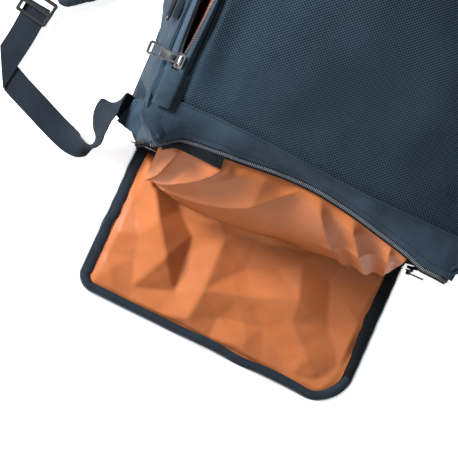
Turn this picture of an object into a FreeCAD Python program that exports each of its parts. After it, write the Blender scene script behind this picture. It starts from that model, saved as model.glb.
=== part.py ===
"""Racket tournament bag, lying on its padded back. Millimetres, +Z up, +Y along the bag.

The origin is on the underside of the back panel, at its centre. The end pocket is at -Y.
"""
import FreeCAD, Part
import math
import os

V = FreeCAD.Vector

# Overall sizes of the bag
HALF_LENGTH = 382.0       # centre to the outside of either end wall
HALF_WIDTH = 183.0        # centre to the widest point of a gusset
SHOULDER_Z = 178.0        # height of the front panel's long edges
CROWN = 27.0              # how far the front panel rises above its edges

# Walls
BACK_THICK = 12.0         # padded back panel
BOARD_THICK = 3.0         # stiffener board in the back
WALL = 5.0                # padded gussets, ends and front
LINING = 1.4              # lining fabric
FABRIC = 1.2              # zipper tape and other single cloth
SEAT = 0.3                # clearance between pieces that lie on each other
CORNER_R = 40.0           # upright corners seen from above
GUSSET_FALL = 10.0        # the gussets end this far below the shoulders
BASE_IN = 11.0            # the gusset's foot is this far inside its widest point
TOP_IN = 13.0             # the gusset's top edge is this far inside its widest point
BULGE_Z = 90.0            # height of the widest point

# Front panel and shoulders
FRONT_TURN = 1.0          # the front panel's long edges lie this far round the upright corners
STRIP_DEPTH = 36.0        # smooth strip between the front panel and the end edge
STRIP_DROP = 10.0         # the strip falls by this much towards the edge

# Long zippers
ZIP_OUT = 14.0            # from the front panel's edge to a long zipper's centre line
ZIP_FALL = 2.0            # the long zippers' tape lies this far below the shoulders
ZIP_START_IN = 76.0       # from the pocket end to where the main slider is parked
ZIP_END_IN = 70.0         # from the top end to the end of the long zippers
ZIP_HALF_GAP = 0.9        # half the gap between closed coils
OPEN_HALF_GAP = 8.5       # half the gap where the main zipper is widest open
COIL_W = 3.4
COIL_H = 3.0

# Slider, shared by the long zippers
SLIDER_LEN = 14.0
SLIDER_W = 11.0
PLATE_H = 1.2
PLATE_GAP = 3.8           # between the slider's two plates
BAR_R = 0.9               # round bridge bar that the pull hangs on
BAR_RISE = 3.6            # bar's centre above the top plate
EYE_CLEAR = 0.35          # running clearance of the pull's eye on the bar
PULL_LEN = 31.0
PULL_W = 13.0
PULL_H = 1.8

# End pocket
MOUTH_TURN = 4.5          # the mouth's sides lie this far round the upright corners
POCKET_DEPTH = 205.0
POCKET_FALL = 26.0        # the pocket's top seam is this far below the shoulders
FLAP_SIDE_GAP = 1.0       # the flap is this much narrower than the mouth on each side
FLAP_SHORT = 19.0         # the flap is this much shorter than the shoulders are high
FLAP_PANEL_H = 2.6
FLAP_HINGE_GAP = 1.5      # from the end wall to the flap's hinge line
FLAP_ROOT_GAP = 0.6       # from the back panel's end to the flap's near edge
FLAP_HINGE_Z = 4.0
FLAP_R_LEFT = 18.0        # far corners of the flap
FLAP_R_RIGHT = 38.0
FLAP_TAPE_W = 12.0
FLAP_BINDING_W = 8.0
CURTAIN_SIDE_GAP = 17.5   # loose lining that hangs out of the mouth, inside its sides
CURTAIN_FOOT_Z = 34.0     # height of its hem
LABEL_IN = 15.0           # label from the curtain's left edge
LABEL_LEN = 57.0
LABEL_OFF = 2.0           # label stands off the curtain's chord

# Straps
WEB_W = 25.0
WEB_H = 1.6
LOCK_RAIL = 4.5           # ladder lock beyond each edge of its webbing
PAD_W = 64.0
PAD_H = 13.0
PAD_END_W = 40.0
TAB_OUT = 12.0            # strap tab beyond the gusset's foot
TAB_TRIM = 2.5            # its outer edge stops this far short, clear of the lifted webbing
STRAP_TOP_IN = 82.0       # from the top end to the upper strap anchors
TAB_IN = 26.0             # from the pocket end to the strap tabs

# Handles and rings
HANDLE_SPAN = 130.0       # between the ends of each handle
HANDLE_DROP = 52.0
HANDLE_FALL = 50.0        # the handles' ends are this far below the gussets' top
GRIP_LEN = 68.0
ANCHOR_GAP = 2.2          # sewn patches stay this far above the handles' swinging ends
RING_R = 12.0
RING_WIRE_R = 1.5
RING_IN = 120.0           # from the pocket end to the rings
RING_FALL = 18.0          # the rings hang this far below the gussets' top

# Worked out from the sizes above
GUSSET_TOP_Z = SHOULDER_Z - GUSSET_FALL
FRONT_HALF = HALF_WIDTH - CORNER_R + FRONT_TURN
ZIP_X = FRONT_HALF + ZIP_OUT
ZIP_Z = SHOULDER_Z - ZIP_FALL
ZIP_START_Y = ZIP_START_IN - HALF_LENGTH
ZIP_END_Y = HALF_LENGTH - ZIP_END_IN
MOUTH_HALF = HALF_WIDTH - CORNER_R + MOUTH_TURN
POCKET_TOP_Z = SHOULDER_Z - POCKET_FALL
FLAP_HALF = MOUTH_HALF - FLAP_SIDE_GAP
FLAP_LEN = SHOULDER_Z - FLAP_SHORT
CURTAIN_HALF = MOUTH_HALF - CURTAIN_SIDE_GAP
CURTAIN_DROP = POCKET_TOP_Z - CURTAIN_FOOT_Z
STRAP_TOP_Y = HALF_LENGTH - STRAP_TOP_IN
TAB_Y = TAB_IN - HALF_LENGTH
HANDLE_Z = GUSSET_TOP_Z - HANDLE_FALL
RING_Y = RING_IN - HALF_LENGTH
RING_Z = GUSSET_TOP_Z - RING_FALL
FLOOR_Z = BACK_THICK + BOARD_THICK + SEAT
LINED_FLOOR_Z = FLOOR_Z + LINING
HINGE_Y = -(HALF_LENGTH + FLAP_HINGE_GAP)
DIVIDER_Y = -HALF_LENGTH + POCKET_DEPTH
STRIP_Y = HALF_LENGTH - STRIP_DEPTH
STRIP_EDGE_Y = HALF_LENGTH - 8.0
CURTAIN_Y = STRIP_EDGE_Y + 2.5
CURTAIN_Z = POCKET_TOP_Z - 2 * SEAT
FOOT_X = HALF_WIDTH - BASE_IN
GUSSET_TOP_X = HALF_WIDTH - TOP_IN


def save(name, *solids):
    """Write one named node, which may hold several separate solids."""
    shape = solids[0] if len(solids) == 1 else Part.makeCompound(list(solids))
    shape.exportStep("parts/" + name + ".step")
    print(name, len(solids), round(shape.Volume / 1000.0, 2), shape.isValid())


def block(x0, x1, y0, y1, z0, z1):
    """Box between two corners, whichever order they come in."""
    low = V(min(x0, x1), min(y0, y1), min(z0, z1))
    return Part.makeBox(abs(x1 - x0), abs(y1 - y0), abs(z1 - z0), low)


def mirrored(shape):
    """The same piece on the other side of the bag."""
    return shape.mirror(V(0, 0, 0), V(1, 0, 0))


def spline(points):
    """Smooth open curve through points."""
    curve = Part.BSplineCurve()
    curve.interpolate([V(*p) for p in points])
    return curve.toShape()


def sheet(rows, offset):
    """Solid sheet: rows of points give one face, and offset carries it to the other."""
    wires = []
    step = V(*offset)
    for row in rows:
        near = [V(*p) for p in row]
        far = [p + step for p in near]
        top = spline([tuple(p) for p in near])
        low = spline([tuple(p) for p in far])
        first = Part.makeLine(far[0], near[0])
        last = Part.makeLine(near[-1], far[-1])
        wires.append(Part.Wire(Part.__sortEdges__([top, last, low, first])))
    return Part.makeLoft(wires, True, len(wires) < 3)


def rounded_plate(half_x, half_y, radius, z0, z1):
    """Flat plate with four upright rounded corners."""
    plate = block(-half_x, half_x, -half_y, half_y, z0, z1)
    upright = [e for e in plate.Edges if abs(e.tangentAt(e.FirstParameter).z) > 0.99]
    return plate.makeFillet(radius, upright)


def ring_wire(half_x, half_y, radius, z):
    """Rounded rectangle at one height, always with the same eight edges."""
    cx = half_x - radius
    cy = half_y - radius
    edges = []
    for turn, (sx, sy) in enumerate(((1, 1), (-1, 1), (-1, -1), (1, -1))):
        start = turn * 90.0
        circle = Part.Circle(V(sx * cx, sy * cy, z), V(0, 0, 1), radius)
        edges.append(Part.Arc(circle, math.radians(start), math.radians(start + 90)).toShape())
    closed = []
    for i, arc in enumerate(edges):
        follower = edges[(i + 1) % 4]
        closed.append(arc)
        closed.append(Part.makeLine(arc.valueAt(arc.LastParameter), follower.valueAt(follower.FirstParameter)))
    return Part.Wire(closed)


def gusset_levels():
    """Height and inset of the bag's side at each level, foot to top."""
    middle_low = (BACK_THICK + BULGE_Z) / 2
    middle_high = (GUSSET_TOP_Z + BULGE_Z) / 2
    return ((BACK_THICK, BASE_IN), (middle_low, BASE_IN * 0.25), (BULGE_Z, 0.0),
            (middle_high, TOP_IN * 0.3), (GUSSET_TOP_Z, TOP_IN))


def side_shell(inset):
    """Filled body of the bag's sides, shrunk inwards by inset."""
    wires = []
    for z, bulge_in in gusset_levels():
        wires.append(ring_wire(HALF_WIDTH - bulge_in - inset, HALF_LENGTH - inset, CORNER_R - inset, z))
    return Part.makeLoft(wires, True, False)


def side_x(z):
    """Half width of the bag at height z, straight between the levels."""
    levels = gusset_levels()
    for (z0, in0), (z1, in1) in zip(levels, levels[1:]):
        if z0 <= z <= z1:
            return HALF_WIDTH - (in0 + (in1 - in0) * (z - z0) / (z1 - z0))
    return FOOT_X


def front_z(x, y):
    """Height of the front panel's outer face."""
    across = 1.0 - (x / FRONT_HALF) ** 2
    along = 1.0 - 0.55 * (y / STRIP_Y) ** 2
    return SHOULDER_Z + CROWN * max(0.0, across) * along


def strip_z(x, y):
    """Height of the smooth end strips' outer face."""
    fall = min(1.0, (abs(y) - STRIP_Y) / (STRIP_EDGE_Y - STRIP_Y))
    return front_z(x, STRIP_Y) * (1 - fall) + (SHOULDER_Z - STRIP_DROP) * fall


def make_back():
    """Padded back panel with its stiffener board inside."""
    radius = CORNER_R - BASE_IN / 2
    save("back_panel", rounded_plate(FOOT_X, HALF_LENGTH, radius, 0, BACK_THICK))
    board_in = WALL + 3
    board = rounded_plate(FOOT_X - board_in, HALF_LENGTH - board_in, radius - board_in,
                          BACK_THICK, BACK_THICK + BOARD_THICK)
    save("back_board", board)


def make_walls():
    """Gussets, corner cheeks and top end panel, all cut from one hollow ring."""
    ring = side_shell(0).cut(side_shell(WALL))
    high = GUSSET_TOP_Z + 1
    reach = HALF_WIDTH + 1
    mouth = block(-MOUTH_HALF, MOUTH_HALF, -HALF_LENGTH - 1, -HALF_LENGTH + CORNER_R + WALL, 0, high)
    top_half = HALF_WIDTH - CORNER_R
    low_end = -HALF_LENGTH + CORNER_R
    cheeks = ring.common(block(-reach, 0, -HALF_LENGTH - 1, low_end, 0, high)).cut(mouth)
    gusset = ring.common(block(-reach, 0, low_end, HALF_LENGTH + 1, 0, high))
    end_box = block(-top_half, top_half, HALF_LENGTH - 2 * WALL, HALF_LENGTH + 1, 0, high)
    save("corner_cheek_left", cheeks.Solids[0])
    save("corner_cheek_right", mirrored(cheeks.Solids[0]))
    gusset = gusset.cut(end_box).Solids[0]
    save("gusset_left", gusset)
    save("gusset_right", mirrored(gusset))
    save("top_end_panel", ring.common(end_box).Solids[0])


def crowned_rows(half_x, y_values, height):
    """Rows of points across the bag, one for each y."""
    fractions = [-1.0, -0.75, -0.4, 0.0, 0.4, 0.75, 1.0]
    return [[(f * half_x, y, height(f * half_x, y)) for f in fractions] for y in y_values]


def make_front():
    """Crowned front panel, the smooth strips at its ends and the corner shoulders."""
    stations = [STRIP_Y * f for f in (-1.0, -0.66, -0.33, 0.0, 0.33, 0.66, 1.0)]
    save("front_panel", sheet(crowned_rows(FRONT_HALF, stations, front_z), (0, 0, -WALL)))
    for name, edge_y in (("pocket_end_strip", -STRIP_EDGE_Y), ("top_end_strip", STRIP_EDGE_Y - 2 * SEAT)):
        first = math.copysign(STRIP_Y, edge_y)
        ys = [first, (first + edge_y) / 2, edge_y]
        save(name, sheet(crowned_rows(FRONT_HALF, ys, strip_z), (0, 0, -WALL)))


def shoulder_cap(y_inner, y_outer):
    """Flat corner piece between the front's edge and the gusset's top."""
    inner = FRONT_HALF + SEAT
    outer = GUSSET_TOP_X - 1
    rows = []
    for y in (y_inner, y_outer):
        drop = STRIP_DROP * (abs(y) > STRIP_Y + STRIP_DEPTH / 2)
        low = GUSSET_TOP_Z + FABRIC + SEAT
        rows.append([(inner, y, max(low, SHOULDER_Z - drop)), (outer, y, low)])
    return sheet(rows, (0, 0, -FABRIC))


def make_shoulder_caps():
    """Four corner caps, past the ends of the long zippers."""
    caps = []
    spans = ((-ZIP_END_Y - 22, -STRIP_Y), (-STRIP_Y - SEAT, -STRIP_EDGE_Y),
             (ZIP_END_Y + 10, STRIP_Y), (STRIP_Y + SEAT, STRIP_EDGE_Y))
    for y_inner, y_outer in spans:
        cap = shoulder_cap(y_inner, y_outer)
        caps.append(cap)
        caps.append(mirrored(cap))
    save("shoulder_caps", *caps)


def half_gap(y, widest):
    """Half the distance between the two coils of a long zipper at y."""
    if y <= ZIP_START_Y + SLIDER_LEN / 2:
        return ZIP_HALF_GAP
    t = (y - ZIP_START_Y - SLIDER_LEN / 2) / (ZIP_END_Y - ZIP_START_Y - SLIDER_LEN / 2)
    return ZIP_HALF_GAP + (widest - ZIP_HALF_GAP) * math.sin(math.pi * min(1.0, t)) ** 0.6


def zip_stations():
    """Stations along a long zipper, closer together near the slider."""
    first = ZIP_START_Y + SLIDER_LEN / 2
    ends = [ZIP_START_Y - 12, first]
    return ends + [first + (ZIP_END_Y - first) * f for f in (0.04, 0.1, 0.22, 0.4, 0.6, 0.78, 0.9, 1.0)]


def coil(side, widest):
    """One coil strand beside the centre line; side is +1 towards the front panel."""
    wires = []
    for y in zip_stations():
        gap = half_gap(y, widest)
        x0 = -ZIP_X + side * gap
        x1 = -ZIP_X + side * (gap + COIL_W)
        z0 = ZIP_Z - COIL_H / 2
        z1 = ZIP_Z + COIL_H / 2
        corners = [V(x0, y, z0), V(x1, y, z0), V(x1, y, z1), V(x0, y, z1), V(x0, y, z0)]
        wires.append(Part.makePolygon(corners))
    return Part.makeLoft(wires, True, True)


def zip_tape(side, widest):
    """Tape from the coil to the front panel or to the gusset's top edge."""
    wires = []
    for y in zip_stations():
        near = -ZIP_X + side * (half_gap(y, widest) + COIL_W + 0.1)
        if side > 0:
            far = -FRONT_HALF - SEAT
            far_z = ZIP_Z
        else:
            far = -GUSSET_TOP_X - 2
            far_z = GUSSET_TOP_Z + FABRIC / 2 + SEAT
        corners = [V(near, y, ZIP_Z - FABRIC / 2), V(far, y, far_z - FABRIC / 2),
                   V(far, y, far_z + FABRIC / 2), V(near, y, ZIP_Z + FABRIC / 2)]
        wires.append(Part.makePolygon(corners + [corners[0]]))
    return Part.makeLoft(wires, True, True)


def make_long_zips():
    """Open main zipper on the left, closed second zipper on the right."""
    for side, word in ((1, "front"), (-1, "side")):
        save("main_zip_tape_" + word, zip_tape(side, OPEN_HALF_GAP))
        save("main_zip_coil_" + word, coil(side, OPEN_HALF_GAP))
    closed_tapes = [mirrored(zip_tape(side, ZIP_HALF_GAP)) for side in (1, -1)]
    closed_coils = [mirrored(coil(side, ZIP_HALF_GAP)) for side in (1, -1)]
    save("second_zip_tapes", *closed_tapes)
    save("second_zip_coils", *closed_coils)
    tabs = []
    for y0, y1 in ((ZIP_START_Y - 34, ZIP_START_Y - 12.5), (ZIP_END_Y + 0.5, ZIP_END_Y + 22)):
        tab = block(-ZIP_X - 8, -ZIP_X + 8, y0, y1, ZIP_Z + 2.2, ZIP_Z + 2.2 + FABRIC)
        tabs.append(tab)
        tabs.append(mirrored(tab))
    save("zip_end_tabs", *tabs)


def slider(x, y, z):
    """Two-plate zipper slider with a round bridge bar along Y."""
    half_w = SLIDER_W / 2
    half_l = SLIDER_LEN / 2
    top = z + PLATE_GAP / 2
    upper = block(x - half_w, x + half_w, y - half_l, y + half_l, top, top + PLATE_H)
    lower = block(x - half_w, x + half_w, y - half_l, y + half_l, z - PLATE_GAP / 2 - PLATE_H, z - PLATE_GAP / 2)
    corners = [e for e in upper.Edges if abs(e.tangentAt(e.FirstParameter).z) > 0.99]
    upper = upper.makeFillet(3.0, corners)
    corners = [e for e in lower.Edges if abs(e.tangentAt(e.FirstParameter).z) > 0.99]
    lower = lower.makeFillet(3.0, corners)
    web_half = ZIP_HALF_GAP - 0.4
    web = block(x - web_half, x + web_half, y - half_l, y - half_l + 5, z - PLATE_GAP / 2 - 0.1, top + 0.1)
    bar_z = top + PLATE_H + BAR_RISE
    bar_half = half_l - 1
    bar = Part.makeCylinder(BAR_R, 2 * bar_half, V(x, y - bar_half, bar_z), V(0, 1, 0))
    posts = []
    for sign in (-1, 1):
        yp = y + sign * (bar_half - 0.7)
        posts.append(block(x - 1.5, x + 1.5, yp - 0.7, yp + 0.7, top + PLATE_H - 0.1, bar_z + BAR_R))
    return upper.multiFuse([lower, web, bar] + posts)


def pull(x, y, z):
    """Flat pull lying towards -X from its eye on the bridge bar."""
    bar_z = z + PLATE_GAP / 2 + PLATE_H + BAR_RISE
    eye_r = BAR_R + EYE_CLEAR
    eye_half = SLIDER_LEN / 2 - 3.2
    eye = Part.makeCylinder(eye_r + 1.0, 2 * eye_half, V(x, y - eye_half, bar_z), V(0, 1, 0))
    bore = Part.makeCylinder(eye_r, 2 * eye_half + 2, V(x, y - eye_half - 1, bar_z), V(0, 1, 0))
    near = x - eye_r - 0.2
    neck_half = eye_half
    far_half = PULL_W / 2
    outline = [V(near, y - neck_half, 0), V(x - PULL_LEN, y - far_half, 0),
               V(x - PULL_LEN, y + far_half, 0), V(near, y + neck_half, 0), V(near, y - neck_half, 0)]
    face = Part.Face(Part.makePolygon(outline))
    plate = face.extrude(V(0, 0, PULL_H))
    far_edges = [e for e in plate.Edges
                 if abs(e.tangentAt(e.FirstParameter).z) > 0.99 and e.CenterOfMass.x < near - 1]
    plate = plate.makeFillet(2.5, far_edges)
    plate.translate(V(0, 0, bar_z - PULL_H / 2))
    far_window = block(x - PULL_LEN + 2.5, x - PULL_LEN + 12, y - 4, y + 4, bar_z - 3, bar_z + 3)
    near_window = block(near - 8.5, near - 2.6, y - 2.4, y + 2.4, bar_z - 3, bar_z + 3)
    return plate.fuse(eye).cut(bore).cut(far_window).cut(near_window)


def make_long_sliders():
    """Slider and pull of each long zipper; the second pair is parked at the top end."""
    save("main_slider", slider(-ZIP_X, ZIP_START_Y, ZIP_Z))
    save("main_pull", pull(-ZIP_X, ZIP_START_Y, ZIP_Z))
    top_y = ZIP_END_Y - SLIDER_LEN / 2
    save("second_slider", slider(ZIP_X, top_y, ZIP_Z))
    save("second_pull", mirrored(pull(-ZIP_X, top_y, ZIP_Z)))


def make_main_lining():
    """Lining of the main compartment: floor, walls and the loose sheet under the front."""
    inset = WALL + SEAT
    walls = side_shell(inset).cut(side_shell(inset + LINING))
    low = LINED_FLOOR_Z + SEAT
    box = block(-HALF_WIDTH, HALF_WIDTH, DIVIDER_Y + LINING + 1, HALF_LENGTH, low, GUSSET_TOP_Z - WALL - 1)
    save("main_lining_walls", walls.common(box).Solids[0])
    floor_half = FOOT_X - WALL - 3
    save("main_lining_floor",
         block(-floor_half, floor_half, DIVIDER_Y + LINING + 1, STRIP_Y - 12, FLOOR_Z, LINED_FLOOR_Z))
    stations = [STRIP_Y * f for f in (-0.98, -0.6, -0.3, 0.0, 0.3, 0.6, 0.98)]
    low_front = lambda x, y: front_z(x, y) - WALL - SEAT
    save("main_lining_front", sheet(crowned_rows(FRONT_HALF - 2, stations, low_front), (0, 0, -LINING)))


def make_pocket_lining():
    """Sack of the end pocket: floor, sides, back wall and top."""
    y0 = -HALF_LENGTH + 1
    side = MOUTH_HALF - SEAT
    low = LINED_FLOOR_Z + SEAT
    save("pocket_lining_floor", block(-side, side, y0, DIVIDER_Y, FLOOR_Z, LINED_FLOOR_Z))
    left = block(-side, -side + LINING, y0, DIVIDER_Y - SEAT, low, POCKET_TOP_Z - SEAT)
    save("pocket_lining_left", left)
    save("pocket_lining_right", mirrored(left))
    save("pocket_lining_back", block(-side, side, DIVIDER_Y, DIVIDER_Y + LINING, low, POCKET_TOP_Z))
    save("pocket_lining_top",
         block(-side, side, -CURTAIN_Y - 1, DIVIDER_Y, POCKET_TOP_Z, POCKET_TOP_Z + LINING))


def make_pocket_zip():
    """Bag half of the pocket's zipper: up both sides and across the top of the mouth."""
    edge_z = SHOULDER_Z - STRIP_DROP - WALL
    tape_rows = [[(-FRONT_HALF, -STRIP_EDGE_Y - SEAT, edge_z), (FRONT_HALF, -STRIP_EDGE_Y - SEAT, edge_z)],
                 [(-FRONT_HALF, -HALF_LENGTH + 0.5, edge_z - 3), (FRONT_HALF, -HALF_LENGTH + 0.5, edge_z - 3)]]
    top_tape = sheet(tape_rows, (0, 0, -FABRIC))
    side_x0 = MOUTH_HALF + SEAT
    side_tapes = []
    side_coils = []
    low = BACK_THICK + 4
    for sign in (-1, 1):
        side_tapes.append(block(sign * side_x0, sign * (side_x0 + 9), -HALF_LENGTH, -HALF_LENGTH - FABRIC,
                                low, edge_z - 6))
        side_coils.append(block(sign * (side_x0 + 0.2), sign * (side_x0 + 0.2 + COIL_W),
                                -HALF_LENGTH - FABRIC, -HALF_LENGTH - FABRIC - COIL_H, low, edge_z - 6))
    top_coil = block(-FRONT_HALF, FRONT_HALF, -HALF_LENGTH + 0.2, -HALF_LENGTH - COIL_W + 0.8,
                     edge_z - 3 - FABRIC - COIL_H + 1, edge_z - 3 + 1 - FABRIC)
    save("pocket_zip_tapes", top_tape, *side_tapes)
    save("pocket_zip_coils", top_coil, *side_coils)


def flap_outline(inset):
    """Flap seen from above, shrunk inwards by inset on its three free sides."""
    half = FLAP_HALF - inset
    near = -HALF_LENGTH - FLAP_ROOT_GAP
    far = HINGE_Y - FLAP_LEN + inset
    left_r = FLAP_R_LEFT - inset / 2
    right_r = FLAP_R_RIGHT - inset / 2
    diagonal = math.sqrt(0.5)
    left_c = V(-half + left_r, far + left_r, 0)
    right_c = V(half - right_r, far + right_r, 0)
    left_arc = Part.Arc(V(-half, left_c.y, 0), left_c + V(-diagonal, -diagonal, 0) * left_r,
                        V(left_c.x, far, 0))
    right_arc = Part.Arc(V(right_c.x, far, 0), right_c + V(diagonal, -diagonal, 0) * right_r,
                         V(half, right_c.y, 0))
    return Part.Wire([
        Part.makeLine(V(half, near, 0), V(-half, near, 0)),
        Part.makeLine(V(-half, near, 0), V(-half, left_c.y, 0)),
        left_arc.toShape(),
        Part.makeLine(V(left_c.x, far, 0), V(right_c.x, far, 0)),
        right_arc.toShape(),
        Part.makeLine(V(half, right_c.y, 0), V(half, near, 0)),
    ])


def flap_layer(inset, z0, z1):
    """Flat layer of the flap between two heights."""
    layer = Part.Face(flap_outline(inset)).extrude(V(0, 0, z1 - z0))
    layer.translate(V(0, 0, z0))
    return layer


def make_flap():
    """Pocket flap folded out flat: outer panel, lining, zipper tape, coil and binding."""
    tape_z = FLAP_PANEL_H
    save("flap_panel", flap_layer(0, 0, FLAP_PANEL_H))
    lining = flap_layer(FLAP_TAPE_W + SEAT, tape_z, tape_z + LINING)
    save("flap_lining", lining)
    tape = flap_layer(1, tape_z, tape_z + FABRIC).cut(flap_layer(FLAP_TAPE_W, tape_z - 1, tape_z + 5))
    binding_y = HINGE_Y - FLAP_LEN + FLAP_BINDING_W
    sides = tape.common(block(-HALF_WIDTH, HALF_WIDTH, HINGE_Y, binding_y, 0, 20))
    ends = tape.common(block(-HALF_WIDTH, HALF_WIDTH, HINGE_Y - FLAP_LEN - 1, binding_y, 0, 20))
    save("flap_zip_tape", *sides.Solids)
    save("flap_binding", *ends.Solids)
    coil_ring = flap_layer(3, tape_z + FABRIC, tape_z + FABRIC + 1.6)
    coil_ring = coil_ring.cut(flap_layer(3 + COIL_W, tape_z, tape_z + 9))
    save("flap_zip_coil", *coil_ring.common(block(-HALF_WIDTH, HALF_WIDTH, HINGE_Y - 2, binding_y, 0, 20)).Solids)


def make_curtain():
    """Loose upper lining that billows out of the pocket's mouth, with the bare label on it."""
    profile = ((0.0, 0.0), (15.0, 0.10), (31.0, 0.35), (43.0, 0.70), (47.0, 1.0))
    y_top = -CURTAIN_Y
    z_top = CURTAIN_Z
    rows = []
    for out, down in profile:
        rows.append([(x, y_top - out, z_top - down * CURTAIN_DROP)
                     for x in (-CURTAIN_HALF, 0.0, CURTAIN_HALF)])
    save("pocket_curtain", sheet(rows, (0, 1.0, -LINING)))
    label_rows = []
    for out, down in profile[1:3]:
        label_rows.append([(x, y_top - out - LABEL_OFF, z_top - down * CURTAIN_DROP + LABEL_OFF)
                           for x in (LABEL_IN - CURTAIN_HALF, LABEL_IN + LABEL_LEN - CURTAIN_HALF)])
    label = sheet([label_rows[0], [tuple((V(*a) + V(*b)) * 0.5) for a, b in zip(*label_rows)]], (0, 0, -0.8))
    save("inner_label", label)


def pocket_slider_parts():
    """Small slider that clasps the bag half of the pocket's coil, with its pull."""
    x = MOUTH_HALF + SEAT + 0.2 + COIL_W / 2
    y_out = -HALF_LENGTH - FABRIC - COIL_H
    z0 = BACK_THICK + 4.5
    z1 = z0 + 11
    clear = 0.4
    half = COIL_W / 2 + clear + 1.2
    body = block(x + COIL_W / 2 + clear, x + half, y_out - clear - 1.2, -HALF_LENGTH - FABRIC - clear, z0, z1)
    plate = block(x - COIL_W / 2, x + half, y_out - clear - 1.2, y_out - clear, z0, z1)
    bar_y = y_out - clear - 1.2 - 2.2
    post_low = block(x - 0.6, x + 1.8, bar_y - 0.8, y_out - clear - 1, z0 + 0.4, z0 + 1.8)
    post_high = block(x - 0.6, x + 1.8, bar_y - 0.8, y_out - clear - 1, z1 - 1.8, z1 - 0.4)
    bar = Part.makeCylinder(0.7, z1 - z0 - 1, V(x + 0.6, bar_y, z0 + 0.5), V(0, 0, 1))
    shape = body.multiFuse([plate, post_low, post_high, bar])
    eye_low = z0 + 2.4
    eye_high = z1 - 2.4
    eye = Part.makeCylinder(1.75, eye_high - eye_low, V(x + 0.6, bar_y, eye_low), V(0, 0, 1))
    tongue = block(x + 1.8, x + 17, bar_y - 0.7, bar_y + 0.7, eye_low, eye_high)
    bore = Part.makeCylinder(1.0, 20, V(x + 0.6, bar_y, z0 - 2), V(0, 0, 1))
    return shape, eye.fuse(tongue).cut(bore)


def make_pocket_slider():
    """Pocket slider and pull at the foot of the right-hand side."""
    body, tongue = pocket_slider_parts()
    save("pocket_slider", body)
    save("pocket_pull", tongue)


def strap_tab(y):
    """Stitched tab at the foot of the gusset that holds the strap's webbing."""
    x0 = FOOT_X + 0.2
    corners = [V(-x0, y + 26, 0), V(-x0, y - 8, 0), V(-x0 - TAB_OUT + TAB_TRIM + 2, y - 14, 0),
               V(-x0 - TAB_OUT + TAB_TRIM, y + 12, 0)]
    face = Part.Face(Part.makePolygon(corners + [corners[0]]))
    tab = face.extrude(V(0, 0, 3.0))
    tab.translate(V(0, 0, 2.0))
    return tab


def smooth_band(centre, width, z0, z1):
    """Flat band of constant width along points seen from above."""
    path = Part.BSplineCurve()
    path.interpolate([V(x, y, 0) for x, y in centre])
    left = []
    right = []
    count = 4 * len(centre)
    first, last = path.FirstParameter, path.LastParameter
    for i in range(count + 1):
        t = first + (last - first) * i / count
        point = path.value(t)
        along = path.tangent(t)[0]
        across = V(-along.y, along.x, 0)
        half = width(i / count) / 2
        left.append(point + across * half)
        right.append(point - across * half)
    one = Part.BSplineCurve()
    one.interpolate(left)
    two = Part.BSplineCurve()
    two.interpolate(right)
    wire = Part.Wire([one.toShape(), Part.makeLine(left[-1], right[-1]), two.toShape(),
                      Part.makeLine(right[0], left[0])])
    band = Part.Face(wire).extrude(V(0, 0, z1 - z0))
    band.translate(V(0, 0, z0))
    return band


def ribbon(stations):
    """Webbing through (point, width direction) stations, as ruled spans."""
    wires = []
    count = len(stations)
    for i, (point, across) in enumerate(stations):
        before = V(*stations[max(0, i - 1)][0])
        after = V(*stations[min(count - 1, i + 1)][0])
        along = (after - before).normalize()
        across = V(*across)
        across = (across - along * across.dot(along)).normalize()
        normal = along.cross(across)
        here = V(*point)
        a = across * (WEB_W / 2)
        n = normal * (WEB_H / 2)
        corners = [here - a - n, here + a - n, here + a + n, here - a + n]
        wires.append(Part.makePolygon(corners + [corners[0]]))
    return Part.makeLoft(wires, True, True)


def pad_width(t):
    """Shoulder pad: narrow at both ends, full width between."""
    rise = min(1.0, t / 0.14, (1.0 - t) / 0.14)
    return PAD_END_W + (PAD_W - PAD_END_W) * math.sin(rise * math.pi / 2)


def ladder_lock(x, y, z, turn):
    """Plastic buckle: a frame with a middle bar, lying flat with its underside at z."""
    half = WEB_W / 2 + LOCK_RAIL
    slot_half = half - 3.5
    frame = block(-half, half, -13, 13, 0, 4.5)
    for y0, y1 in ((-9.5, -2.5), (2.0, 9.5)):
        frame = frame.cut(block(-slot_half, slot_half, y0, y1, -1, 6))
    corners = [e for e in frame.Edges
               if abs(e.tangentAt(e.FirstParameter).z) > 0.99 and abs(e.CenterOfMass.x) > half - 1]
    frame = frame.makeFillet(3.0, corners)
    frame.rotate(V(0, 0, 0), V(0, 0, 1), turn)
    frame.translate(V(x, y, z))
    return frame


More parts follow.
